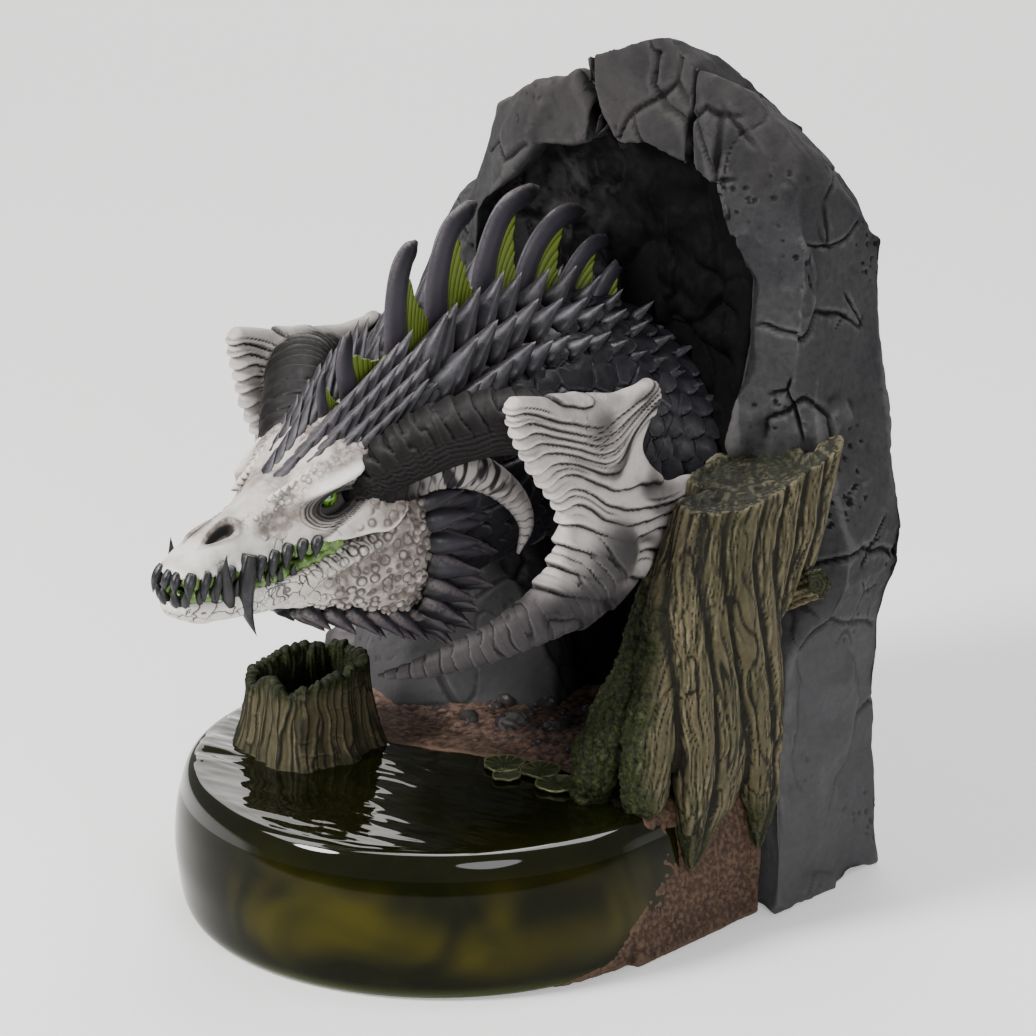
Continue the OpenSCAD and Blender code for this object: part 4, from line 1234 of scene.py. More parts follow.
def finish_inner_parts():
    """Materials for the CAD nodes that are shown as they are."""
    inner = plastic("inner_plastic_paint", (0.022, 0.022, 0.024))
    for node in ("hopper_funnel", "chute_wall", "baffle_upper", "baffle_middle", "baffle_lower",
                 "exit_ramp", "back_panel"):
        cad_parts[node].data.materials[0] = inner
    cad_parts["back_screws"].data.materials[0] = steel()


# ---------------------------------------------------------------- dragon: neck

HEAD_X = -2.0            # the head's middle
NECK = resample(catmull([(-2, -46, 137, 21, 26), (-2, -44, 137, 22, 27), (-1, -26, 138, 27, 34),
                         (0, -6, 143, 30, 37),
                         (2, 14, 146, 30, 37), (6, 34, 144, 30, 36), (14, 52, 137, 30, 34),
                         (25, 67, 127, 30, 31),
                         (34, 76, 120, 29, 29)], 14), 200)


def on_neck(t, a):
    """A point on the neck, with the ways out and back along it; a is in degrees from its top towards +X."""
    i = t * (len(NECK) - 1)
    lo = int(min(max(math.floor(i), 0), len(NECK) - 2))
    s = NECK[lo] + (NECK[lo + 1] - NECK[lo]) * (i - lo)
    side, top, along = frames(NECK)
    r = math.radians(a)
    d = side[lo] * math.sin(r) * s[3] + top[lo] * math.cos(r) * s[4]
    n = unit(side[lo] * math.sin(r) / s[3] + top[lo] * math.cos(r) / s[4])
    return s[:3] + d, n, along[lo]


def shingles(u, v, drop=0.9):
    """Heights of overlapping pointed scales on a unit lattice, each rising towards +u."""
    best = np.full(u.shape, -9.0)
    for du in (-1, 0, 1):
        for dv in (-1, 0, 1):
            iu = np.floor(u) + du
            odd = np.mod(iu, 2) * 0.5
            iv = np.floor(v - odd) + dv
            fu, fv = u - iu, v - odd - iv - 0.5
            wide = 0.64 * np.sqrt(held(1 - ((np.clip(fu, 0, 1.7) - 0.35) / 1.15) ** 2))
            inside = (fu > -0.1) & (fu < 1.5) & (np.abs(fv) < wide)
            h = np.where(inside, fu * drop + 0.22 * (1 - (fv / np.maximum(wide, 1e-3)) ** 2), -9)
            best = np.maximum(best, h)
    return best


def make_neck():
    """Scales on top, plates along the flank, broad bands below."""
    rings, sides = int(430 / FINE), int(420 / FINE)
    s = resample(NECK, rings)
    side, top, _ = frames(s)
    a = turns(sides)
    co = tube(s[:, :3], side, top, s[:, 3:4] * np.sin(a), s[:, 4:5] * np.cos(a))
    length = np.r_[0, np.cumsum(np.linalg.norm(np.diff(s[:, :3], axis=0), axis=1))]
    u = np.repeat(length[:, None], sides, 1)
    deg = np.degrees(a)[None, :] + 0 * u
    deg = np.where(deg > 180, deg - 360, deg)
    away = np.abs(deg)
    pitch = 7.6
    warp = noise(np.stack([u.ravel(), deg.ravel() * 0.5, 0 * u.ravel()], 1), 30, 3).reshape(u.shape)
    h = shingles((u + 0.03 * (away - 60) + 1.2 * warp) / pitch, (deg / 360 * 30) + 0.3 * warp)
    h2 = shingles(u / 11.0, deg / 360 * 9 + 0.5, drop=1.2)
    under = smoothstep(118, 132, away)
    spread = np.stack([u.ravel() + 0.05 * away.ravel(), deg.ravel() * 0.55, 40 + 0 * u.ravel()], 1)
    d1, d2, who3, off3 = cells(spread, 9.0, 3, 0.55)
    tilt = 0.075 * off3[:, 0] + 0.03 * off3[:, 1] * seeded(who3, 2)[:, 0]
    plate = (0.75 + 0.35 * held(1 - (d1 / 5.5) ** 2) + tilt - 1.1 * bell(d2 - d1, 0.55)).reshape(u.shape)
    end = length[-1]
    flank = band(away, 48, 58, 100, 112) * smoothstep(8, 20, u) * smoothstep(end * 0.78, end * 0.62, u)
    height = h * (1 - under) + h2 * under
    height = height * (1 - flank) + plate * flank
    sg = grid(co, cap0=True, cap1=True, h=height)
    n = sg.normals()
    if (n[:len(n) // 2] * (sg.co[:len(n) // 2] - np.repeat(s[:, :3], sides, 0)[:len(n) // 2])).sum() < 0:
        sg.quads, sg.tris = sg.quads[:, ::-1], sg.tris[:, ::-1]
        n = -n
    values = sg.values.pop("h")
    sg.push(1.7 * (values - 0.75) + 0.12 * noise(sg.co, 2.6, 4) + 0.3 * noise(sg.co, 9, 6), n)
    sg.co[:, 1] = np.minimum(sg.co[:, 1], PANEL_Y)
    sg.paint(1, 5, 0.34)
    sg.values["edge"] *= 0.8
    piece("neck_hide", sg, hide_paint(), "dark_hide", "neck", "belly_plates", "neck_scales")


def claw(at, way, length, width, up, bend=0.25, rings=14, sides=12, thick=0.6):
    """A curved tapering claw from a point, along a way, bending towards up."""
    way, up = unit(way), unit(up)
    flat = unit(np.cross(way, up))
    t = np.linspace(0, 1, rings)
    mid = at + np.outer(t * length, way) + np.outer(bend * length * t * t, up)
    tan = unit(np.gradient(mid, axis=0))
    over = unit(np.cross(flat, tan))
    a = turns(sides)
    w = width / 2 * (1 - t ** 1.55) ** 0.85 * (1 + 0.18 * np.sin(math.pi * held(t * 1.6)))
    ridge = 1 + 0.22 * held(np.sin(a)) ** 3
    co = tube(mid, flat[None], over, w[:, None] * np.cos(a), w[:, None] * thick * np.sin(a) * ridge)
    edge = held(1.25 * np.abs(np.cos(a))[None] ** 8 * np.ones((rings, 1))
                + smoothstep(0.82, 1, t)[:, None] * 0.7)
    wash = np.repeat(smoothstep(0.30, 0.0, t)[:, None], sides, 1)
    cool = np.repeat(smoothstep(0.15, 0.6, t)[:, None] * smoothstep(1.0, 0.7, t)[:, None], sides, 1) * 0.5
    return grid(co[:, ::-1], cap0=True, cap1=True, edge=edge * 0.8, wash=wash, cool=cool)


def make_neck_claws():
    """Three rows of pointed plates on each side of the neck."""
    rng = np.random.default_rng(8)
    shapes = []
    rows = [(14, 18.0, 11.5, 0.02, 17, 1.25), (31, 15.5, 11.2, 0.05, 17, 0.95),
            (46, 12.0, 10.0, 0.025, 18, 0.7)]
    for side in (-1, 1):
        for angle, long, wide, start, count, lift in rows:
            for i in range(count):
                t = start + 0.90 * i / count
                grow = 0.62 + 0.5 * math.sin(math.pi * min(1, t * 1.5 + 0.1)) - 0.25 * t
                at, n, back = on_neck(t, side * (angle + rng.uniform(-1.5, 1.5)))
                way = back * 1.0 + n * lift * (0.85 + rng.uniform(-0.08, 0.08)) + np.array([0, 0, 0.25])
                shapes.append(claw(at - n * 1.6, way, long * grow * rng.uniform(0.92, 1.08), wide * grow,
                                   n * 0.6 + np.array([0, 0.2, 0.8]), 0.12, thick=0.55))
    piece("neck_claws", joined(shapes), spike_paint(), "dark_spike", "neck_spikes")


SPINES = [
    [(-3, -58, 160, 2.2), (-3, -60, 168, 2.1), (-3, -60, 173, 1.7), (-3, -58.5, 177, 0.8)],
    [(-2, -47, 158, 4.0), (-2, -49.5, 168, 4.0), (-2, -51.5, 177, 3.4), (-2, -50.5, 183, 2.6),
     (-2, -49, 187, 1.2)],
    [(0, -30.5, 164, 5.2), (0, -32, 180, 4.8), (0, -31.8, 193, 4.5), (0, -29.0, 203, 4.1),
     (0, -23.0, 208.5, 2.9)],
    [(0, -13.5, 168, 5.6), (0, -15, 185, 5.0), (0, -13.2, 199, 4.6), (0, -8.4, 209, 4.2),
     (0, 2.5, 214.5, 3.0)],
    [(1, 4, 170, 6.0), (1, 4, 188, 5.2), (1, 7.5, 201, 4.7), (1, 15, 210.5, 4.2), (1, 29, 213.5, 2.8)],
    [(2, 20, 172, 5.6), (2, 21, 187, 4.6), (3, 26.5, 198, 4.2), (4, 35, 204.0, 3.7), (4, 46, 203.5, 2.4)],
    [(4, 33, 170, 4.8), (5, 35.5, 181, 4.0), (6, 40.5, 189, 3.6), (7, 46.5, 193.5, 3.1),
     (7, 54.5, 193, 2.0)],
    [(7, 44, 166, 4.2), (8, 46.5, 175, 3.5), (9, 50.5, 182, 3.2), (10, 54.5, 186, 2.7),
     (10, 58.5, 187.5, 1.5)],
    [(10, 53, 160, 3.6), (11, 56, 168, 2.9), (12, 59.5, 174, 2.5), (13, 63, 177, 1.3)],
    [(14, 60, 154, 3.0), (15, 63.5, 161, 2.4), (17, 67, 166, 2.0), (18, 70, 168, 1.0)],
]


def make_spines():
    """The flat curved spines along the back of the neck."""
    shapes = []
    for line in SPINES:
        rings, sides = 46, 26
        c = resample(catmull([(*p, 0) for p in line], 10), rings)
        t = np.linspace(0, 1, rings)
        tan = unit(np.gradient(c[:, :3], axis=0))
        chord = unit(np.cross(tan, (1, 0, 0)))
        a = turns(sides)
        half = c[:, 3] * np.sqrt(held(1 - smoothstep(0.90, 1.0, t) ** 2 * 0.9))
        thick = np.minimum(half * 0.55, 2.3)
        front = held(-np.cos(a))
        shape_r = 1 - 0.10 * np.abs(np.sin(2 * a))
        co = tube(c[:, :3], chord, np.array([[1.0, 0, 0]]),
                  half[:, None] * np.cos(a) * shape_r, thick[:, None] * np.sin(a) * shape_r)
        edge = (front[None] ** 6 * (0.5 + 0.5 * smoothstep(0.8, 0.2, t))[:, None]
                + smoothstep(0.90, 1, t)[:, None] * 0.35)
        wash = np.repeat(smoothstep(0.28, 0.05, t)[:, None] + 0.5 * smoothstep(0.75, 1, t)[:, None],
                         sides, 1)
        cool = np.repeat((band(t, 0.05, 0.3, 0.55, 0.98))[:, None], sides, 1)
        shapes.append(grid(co[:, ::-1], cap0=True, cap1=True, edge=held(edge), wash=held(wash),
                           cool=cool))
    piece("back_spines", joined(shapes), bpy.data.materials["spike_paint"], "dark_spike", "dorsal_spines")


def make_fins():
    """Pleated webs between the spines."""
    shapes = []
    for k in range(len(SPINES) - 1):
        a = resample(catmull([(*p, 0) for p in SPINES[k]], 10), 60)
        b = resample(catmull([(*p, 0) for p in SPINES[k + 1]], 10), 60)
        m, n = int(46 / math.sqrt(FINE)), int(90 / math.sqrt(FINE))
        u, v = np.meshgrid(np.linspace(0, 1, n), np.linspace(0, 1, m), indexing="xy")
        reach = 0.30 + 0.46 * (1 - u) ** 1.35
        flat = np.stack([u.ravel() * 9, 7.0 * k + 0 * u.ravel(), 0 * u.ravel()], 1)
        scallop = 0.02 * ((u * 5) % 1) + 0.02 * noise(flat, 1, 4).reshape(u.shape)
        h = v * (reach + scallop)
        ia = np.clip(h * 59, 0, 58.99)
        lo = ia.astype(int)
        fr = (ia - lo)[..., None]
        pa = a[lo][..., :3] * (1 - fr) + a[lo + 1][..., :3] * fr
        pb = b[lo][..., :3] * (1 - fr) + b[lo + 1][..., :3] * fr
        pa = pa + np.array([0, 1.0, 0]) * a[lo][..., 3:4] * 0.6
        pb = pb - np.array([0, 1.0, 0]) * b[lo][..., 3:4] * 0.3
        co = pa + (pb - pa) * u[..., None]
        pleat = np.cos((u * (1.25 - 0.25 * v)) * TAU * 10 + 0.5 * np.sin(v * 4))
        co[..., 0] += 0.11 * pleat * (0.4 + 0.6 * v) + 0.8 * np.sin(u * math.pi)
        co[..., 2] -= 3.2 * np.sin(u * math.pi) * v
        rib = held(-pleat)
        back = co[::-1].copy()
        co[..., 0] += 0.28
        back[..., 0] -= 0.28
        both = np.concatenate([co, back])
        along = np.concatenate([smoothstep(0.0, 0.8, v) * 0.9 + 0.1,
                                (smoothstep(0.0, 0.8, v) * 0.9 + 0.1)[::-1]])
        shapes.append(grid(both, close_u=True, close_v=False, rib=np.concatenate([rib, rib[::-1]]),
                           along=along))
    piece("fin_webs", joined(shapes), fin_paint(), "fin", "fin_membranes")


# ---------------------------------------------------------------- dragon: head

def lofted(stations, m, n):
    """Half sections [(offset, z) ...] at each y become a mesh, mirrored about the head's middle."""
    ys = np.array([s[0] for s in stations], float)
    pts = np.array([s[1] for s in stations], float)
    flat = np.c_[ys, pts.reshape(len(ys), -1)]
    c = catmull(flat, 16)
    yy = np.linspace(ys[0], ys[-1], m)
    c = np.stack([np.interp(yy, c[:, 0], c[:, k]) for k in range(c.shape[1])], 1)
    half = c[:, 1:].reshape(m, -1, 2)
    rows = []
    for sec in half:
        first = sec[1] * (-1, 1)
        last = sec[-2] * (-1, 1)
        rows.append(resample(through(np.vstack([first, sec, last]), 12), n))
    rows = np.array(rows)
    right = np.stack([HEAD_X + rows[..., 0], np.repeat(yy[:, None], n, 1), rows[..., 1]], -1)
    left = right[:, 1:-1][:, ::-1].copy()
    left[..., 0] = 2 * HEAD_X - left[..., 0]
    return grid(np.concatenate([right, left], 1), cap0=True, cap1=True)


SKULL = [
    (-121.8, [(0, 134.2), (1.2, 134.1), (2.4, 133.8), (3.4, 133.3), (4, 132.8), (4, 132.2),
              (3, 131.8), (0, 131.8)]),
    (-119.5, [(0, 136.6), (2.2, 136.4), (4.2, 135.8), (5.8, 134.8), (6.8, 133.4), (7, 132),
              (5.6, 131.3), (0, 131.8)]),
    (-114, [(0, 139), (3, 138.8), (5.6, 137.8), (7.4, 136), (8.4, 134), (8.9, 131.8), (7.4, 131),
            (0, 132.3)]),
    (-108, [(0, 141.2), (3.0, 141.0), (6.0, 139.8), (8.2, 137.4), (9.4, 134.8), (10, 131.8),
            (8.4, 131), (0, 133)]),
    (-101, [(0, 143.8), (2.6, 143.2), (5.6, 141.6), (8.2, 138.8), (10, 135.6), (11, 132),
            (9.4, 131.4), (0, 134)]),
    (-94, [(0, 146.6), (2.6, 146), (6.0, 143.8), (8.8, 140.4), (11, 136.8), (12.4, 133),
           (10.4, 132.4), (0, 135)]),
    (-87, [(0, 149.8), (3.4, 149.4), (7.8, 147), (10.6, 142.6), (13, 138.6), (14.6, 135),
           (12.4, 134.2), (0, 135.5)]),
    (-80, [(0, 153.4), (4.8, 153.2), (11.2, 151.6), (13.4, 146.0), (16, 141), (18.4, 135.6),
           (15, 134.8), (0, 136)]),
    (-73, [(0, 157.4), (6.0, 157.2), (14.6, 154.6), (16.2, 148.2), (18.8, 142.2), (21.8, 135.8),
           (17, 135.2), (0, 137)]),
    (-66, [(0, 161.2), (7.4, 160.8), (16.4, 157), (18.2, 150.4), (21.2, 143.6), (25, 136.6),
           (19, 136), (0, 138)]),
    (-60, [(0, 164), (8.4, 163.4), (16.4, 158.8), (19.2, 152.0), (23, 145.4), (27, 136.6),
           (20, 135.8), (0, 138)]),
    (-55, [(0, 166), (9.2, 165.2), (16.6, 160.2), (19.8, 153.4), (23, 147.4), (27.6, 141), (20, 138),
           (0, 138)]),
    (-49, [(0, 168.4), (9.6, 167), (16.6, 161.6), (19.4, 154.4), (20.8, 148.4), (22, 143.6),
           (17, 140), (0, 139)]),
    (-38, [(0, 170), (9.6, 168.4), (15.4, 162.4), (17.6, 155), (18, 149), (17.4, 144), (13, 141),
           (0, 140)]),
]

JAW = [
    (-123.6, [(0, 124.6), (1.2, 124.6), (2.4, 124.4), (3.2, 123.8), (3, 122.8), (2, 122.2), (1, 122),
              (0, 122)]),
    (-121, [(0, 125), (3.4, 125), (5.4, 124.8), (6.4, 123.4), (5.8, 121.2), (3.8, 119.8),
            (1.8, 119.2), (0, 119.2)]),
    (-114, [(0, 124.4), (6, 124.6), (8.6, 124.6), (9.8, 122.4), (9, 119.4), (6, 117.4), (3, 116.6),
            (0, 116.6)]),
    (-104, [(0, 124), (8, 124.6), (10.4, 124.8), (11.6, 122), (10.6, 118.6), (7, 116.4),
            (3.5, 115.6), (0, 115.6)]),
    (-95, [(0, 123), (9.4, 124.6), (11.8, 125.2), (13, 123.4), (12, 119), (8, 115.8), (4, 115),
           (0, 115)]),
    (-87, [(0, 123.4), (11, 125.8), (13.4, 126.6), (14.8, 125.4), (13.8, 119.4), (9.4, 115.2),
           (4.6, 114.2), (0, 114.2)]),
    (-79, [(0, 124.6), (13.4, 128.2), (16.4, 129.2), (18, 127), (16.8, 119.6), (11.4, 114),
           (5.6, 112.6), (0, 112.6)]),
    (-71, [(0, 127), (16, 131.4), (20, 132.4), (21.8, 127.4), (20.4, 119), (14, 111.8), (7, 110),
           (0, 110)]),
    (-63, [(0, 128), (18, 134), (23.2, 134.4), (25.8, 127.6), (24.4, 117.6), (17, 109.2), (8.6, 107),
           (0, 107)]),
    (-56, [(0, 130), (18, 138), (24.6, 139), (28.4, 130), (27, 117), (19.4, 107), (9.6, 104.4),
           (0, 104.4)]),
    (-48, [(0, 132), (18, 142), (25, 141.6), (28.8, 131), (27.6, 116.6), (20, 106), (10, 103), (0, 103)]),
    (-40, [(0, 134), (16, 143), (23, 141), (26.4, 130), (25.4, 117), (19, 107), (9.6, 104), (0, 104)]),
    (-33, [(0, 136), (13, 143), (19, 140), (22, 130), (21, 119), (16, 110), (8, 107), (0, 107)]),
]

EYE = (15.3, -72.0, 145.6)      # offset from the head's middle, y, z


LIP_PITCH = 4.2          # from tooth to tooth along the upper lip


def side_of(p):
    """How far points are from the head's middle."""
    return np.abs(p[:, 0] - HEAD_X)


def eye_shape(p):
    """1 on the edge of the almond opening of the eye, less inside."""
    dy, dz = p[:, 1] - EYE[1], p[:, 2] - EYE[2] + 0.2
    c, s = math.cos(math.radians(22)), math.sin(math.radians(22))
    a, b = dy * c + dz * s, -dy * s + dz * c
    return np.sqrt((a / 5.8) ** 2 + (b / (2.35 - 0.06 * a)) ** 2)


def hide_bumps(p, size, seed, keep=0.0):
    """Scattered low domes and the moats round them."""
    d1, _, who, _ = cells(p, size, seed, 0.75)
    dome = np.sqrt(held(1 - (d1 / (size * 0.42)) ** 2))
    return dome * (seeded(who, 4)[:, 0] > keep - 0.9), bell(d1 - size * 0.46, size * 0.09)


def cracked(p, size, seed, width):
    """1 along the lines of a net of cracks."""
    q = p + 0.25 * size * np.stack([noise(p, size * 0.5, seed + k) for k in range(3)], 1)
    d1, d2 = cells(q, size, seed, 1.0)[:2]
    return bell(d2 - d1, width)


def make_skull():
    s = lofted(SKULL, int(330 / FINE), int(190 / FINE))
    s.outward()
    p, n, x = s.co.copy(), s.normals(), side_of(s.co)
    y, z = p[:, 1], p[:, 2]
    outer = smoothstep(-0.55, -0.2, n[:, 2])
    upper = smoothstep(0.05, 0.4, n[:, 2])
    m = p.copy()
    m[:, 0] = x
    amount = 0.45 * fbm(m, 13, 3, 4) * outer
    # ridge along the snout, hollow in front of the eye, brow above it, rings round it
    amount += 0.9 * bell(x, 1.5) * band(y, -119, -112, -92, -82) * upper
    pit = np.sqrt(((y + 90.5) / 6.5) ** 2 + ((z - 141.5 - 0.25 * (y + 90)) / 3.4) ** 2) + 3 * (x < 3)
    amount -= 1.7 * smoothstep(1.25, 0.2, pit)
    brow_z = 149.9 + 0.38 * (y + 75)
    brow = bell(z - brow_z, 1.7) * band(y, -86, -79, -66, -61) * smoothstep(6, 11, x)
    amount += 3.0 * brow
    e = eye_shape(p) + 4 * (x < 9)
    amount -= 4.4 * smoothstep(1.0, 0.88, e) + 1.8 * smoothstep(2.0, 1.0, e)
    rings = stripe(e * 4.6 + 0.25 * noise(m, 2.2, 9), 0.17) * band(e, 2.3, 1.8, 1.05, 0.98)
    amount += -0.55 * rings + 0.7 * bell(e - 1.08, 0.07)
    under_eye = (bell(z - (140.4 + 0.20 * (y + 72)), 1.6) * band(y, -84, -76, -64, -58)
                 * smoothstep(10, 14, x))
    amount += 0.8 * under_eye
    cheek_fold = (bell(z - (138.6 + 0.55 * (y + 76)), 0.9) * band(y, -84, -79, -74, -70)
                  * smoothstep(11, 14, x))
    amount -= 0.9 * cheek_fold
    # nostril
    dy, dx = y + 106.8, x - 3.7
    c, sn = math.cos(math.radians(4)), math.sin(math.radians(4))
    u, v = dy * c + dx * sn, -dy * sn + dx * c
    nostril = np.sqrt((u / 5.6) ** 2 + (v / (1.95 + 0.12 * u)) ** 2) + 4 * (n[:, 2] < 0)
    amount -= 3.0 * smoothstep(1.0, 0.55, nostril)
    amount += 0.75 * bell(nostril - 1.28, 0.2) * smoothstep(4, 0, np.abs(dy) - 4)
    # rounded scales on the roof behind the brow, small bumps along the crest line
    roof = smoothstep(-90, -74, y) * upper * smoothstep(1.3, 2.2, e) * (1 - held(brow * 1.4))
    dome, rim = hide_bumps(m, 3.3, 5, 0.25)
    fade = smoothstep(0.05, 0.35, noise(m, 15, 3) + 0.35 * smoothstep(-76, -56, y))
    amount += roof * fade * (0.55 * dome - 0.35 * rim)
    line_z = 6.2 + 0.10 * (y + 84)
    row = bell(x - line_z - 0.22 * (y + 100) * (y > -100), 1.5) * band(y, -102, -96, -70, -62) * upper
    dome2, rim2 = hide_bumps(m, 2.0, 8, 0.2)
    amount += 0.6 * row * dome2
    back = smoothstep(-62, -52, y) * smoothstep(150, 156, z)
    amount += 0.9 * back * hide_bumps(m, 2.6, 6, 0.2)[0]
    # lip scallops over the teeth and fine cracks
    lip = smoothstep(135.5, 132.4, z - 0.03 * (y + 100)) * smoothstep(-66, -78, y) * outer
    amount += 0.45 * lip * np.cos(y * TAU / LIP_PITCH)
    crack = (cracked(m, 7, 12, 0.16) * smoothstep(0.2, 0.55, noise(m, 11, 31)) * outer
             * smoothstep(141, 137, z))
    amount -= 0.35 * crack
    s.push(amount, n)
    s.paint(2, 14, 0.62)
    dots = roof * fade * dome * smoothstep(0.0, 0.5, noise(m, 9, 15) + 0.30 * smoothstep(-70, -60, y))
    # grime on the bumps and rims, with painted shade in the pit, round the nostril, in the cheek fold,
    # between the lip scallops and towards the rear of the skull
    grime = (0.8 * smoothstep(1.3, 0.3, pit) + 0.38 * upper * smoothstep(-100, -84, y) + 1.3 * dots
             + 0.8 * back + 0.9 * row * rim2 + 0.9 * roof * fade * rim
             + 0.5 * smoothstep(-70, -54, y) * upper + 0.5 * cheek_fold
             + 0.5 * lip * stripe(y / LIP_PITCH, 0.2) + 0.75 * smoothstep(1.6, 1.2, nostril)
             + 0.8 * smoothstep(-56, -44, y))
    s.values["grime"] = held(grime * outer + 0.42 * smoothstep(0.0, 0.45, noise(m, 9, 44)) * outer)
    # painted shade inside the nostril and in the eye socket, with dark lines in the rings and cracks
    ink = (1.3 * smoothstep(1.05, 0.8, nostril) + 0.92 * smoothstep(2.15, 1.5, e) + rings * 0.9
           + 0.8 * crack)
    s.values["ink"] = held(ink) * held(1 - 0.35 * bell(e - 1.55, 0.12))
    s.values["edge"] = held(s.values["edge"] + 0.8 * brow)
    piece("skull_bone", s, bone_paint(), "bone", "skull")


def make_jaw():
    s = lofted(JAW, int(330 / FINE), int(190 / FINE))
    s.outward()
    p, n, x = s.co.copy(), s.normals(), side_of(s.co)
    y, z = p[:, 1], p[:, 2]
    m = p.copy()
    m[:, 0] = x
    rear = smoothstep(-86, -66, y)
    amount = 0.4 * fbm(m, 10, 3, 14)
    fold = bell(z - (121.5 + 0.42 * (y + 80)), 2.2) * band(y, -84, -72, -58, -46) * smoothstep(10, 15, x)
    amount += (1.5 * bell(z - (125.6 + 0.42 * (y + 80)), 2.4) * band(y, -84, -72, -58, -46)
               * smoothstep(10, 15, x) - 1.3 * fold)
    wrinkle = (stripe((y + 0.6 * z + 1.2 * noise(m, 6, 5)) / 2.4, 0.14)
               * bell(z - (128.5 + 0.40 * (y + 80)), 3.0) * band(y, -90, -80, -66, -58))
    amount -= 0.5 * wrinkle
    dome, rim = hide_bumps(m, 3.2, 15, -0.2)
    amount += rear * (0.75 * dome - 0.45 * rim) * (1 - 0.8 * fold)
    where = noise(m, 16, 35) + 0.35 * smoothstep(-108, -96, y)
    crack = cracked(m, 5.0, 22, 0.22) * smoothstep(-62, -84, y) * smoothstep(-0.25, 0.15, where)
    amount -= 0.4 * crack
    fine = cracked(m, 2.2, 25, 0.16) * smoothstep(-0.05, 0.35, noise(m, 9, 39)) * smoothstep(-70, -96, y)
    amount -= 0.15 * fine
    dots = (bell(cells(m, 2.6, 27, 1.0)[0], 0.30) * smoothstep(-96, -104, y)
            * smoothstep(0.1, 0.4, noise(m, 6, 28)))
    amount -= 0.4 * dots
    s.push(amount, n)
    s.paint(2, 12, 0.5)
    low = smoothstep(-90, -60, y)
    # painted shade over the jaw's rear, under the cheek, with grime on the folds, wrinkles and bump rims
    s.values["grime"] = held(0.75 * low + 0.35 * smoothstep(-62, -48, y) + 0.6 * rear * rim + 0.8 * fold
                             + 0.25 * wrinkle + 0.35 * smoothstep(0, 0.5, noise(m, 8, 44)))
    # dark lines in the cracks, dots and wrinkles, and painted shade at the jaw's rear end where it goes in
    # under the cheek
    s.values["ink"] = held(0.75 * crack + 0.5 * fine + 0.9 * dots + 0.6 * wrinkle + 0.5 * rear * rim
                           + 0.9 * smoothstep(-52, -42, y))
    s.values["edge"] = held(s.values["edge"] + 0.5 * rear * dome ** 3)
    piece("jaw_bone", s, bpy.data.materials["bone_paint"], "bone", "lower_jaw")


def lip_at(y, table, index):
    """(offset, z) of one of a section's points at y."""
    ys = [s[0] for s in table]
    return (np.interp(y, ys, [s[1][index][0] for s in table]),
            np.interp(y, ys, [s[1][index][1] for s in table]))


def make_gums():
    """The gums as beads along both lips, and the tongue."""
    shapes = []
    for table, index, y1, inward, lift in ((SKULL, 5, -74, 1.6, -1.3), (JAW, 2, -74, 1.5, 1.2)):
        ys = np.linspace(-119.5, y1, 60)
        w, z = lip_at(ys, table, index)
        run = np.c_[w - inward, ys, z + lift]
        left = run[::-1].copy()
        left[:, 0] *= -1
        loop = np.vstack([left, [[0, -120.6, z[0] + lift]], run])
        loop[:, 0] += HEAD_X
        c = resample(loop, int(420 / FINE))
        sides = 22
        side, top, _ = frames(c)
        a = turns(sides)
        bump = 1 + 0.16 * np.cos(c[:, 1] * TAU / 3.6)[:, None] + 0 * a
        co = tube(c[:, :3], side, top, 1.9 * bump * np.cos(a), 2.0 * bump * np.sin(a))
        g = grid(co[:, ::-1], cap0=True, cap1=True)
        g.push(0.25 * noise(g.co, 2.2, 5), g.normals())
        shapes.append(g.paint(1, 6, 0.3))
    # tongue and floor of the mouth
    shapes.append(swept([(HEAD_X, -114, 126, 5, 1.6), (HEAD_X, -100, 127, 8, 2),
                         (HEAD_X, -85, 129.5, 10, 2.4), (HEAD_X, -72, 131, 12, 2.4)],
                        60, 40).paint(1, 6, 0.4))
    piece("gum_flesh", joined(shapes), gum_paint(), "gum", "gums")


def tooth(base, tip, r, bend=0.12, rings=22, sides=18):
    """A fluted tooth that bows forward."""
    back = (0, 1, 0)
    base, tip = np.array(base, float), np.array(tip, float)
    v = tip - base
    length = np.linalg.norm(v)
    t = np.linspace(0, 1, rings)
    mid = base + np.outer(t, v) + np.outer(np.sin(t * math.pi) * -bend * length, unit(back))
    tan = unit(np.gradient(mid, axis=0))
    side = unit(np.cross(tan, unit(back)))
    other = np.cross(side, tan)
    a = turns(sides)
    w = r * (0.80 + 0.42 * np.sin(t ** 0.8 * math.pi)) * (1 - t ** 2.0)
    flute = 1 + 0.05 * np.cos(a * 6) * (1 - t[:, None])
    co = tube(mid, side, other, w[:, None] * flute * np.cos(a), w[:, None] * flute * np.sin(a))
    edge = ((held(np.cos(a * 6)) ** 3 * 0.35)[None] * smoothstep(1, 0.6, t)[:, None]
            + smoothstep(0.9, 1, t)[:, None] * 0.3)
    wash = np.repeat(smoothstep(0.25, 0, t)[:, None], sides, 1)
    return grid(co[:, ::-1], cap0=True, cap1=True, edge=edge, wash=wash)


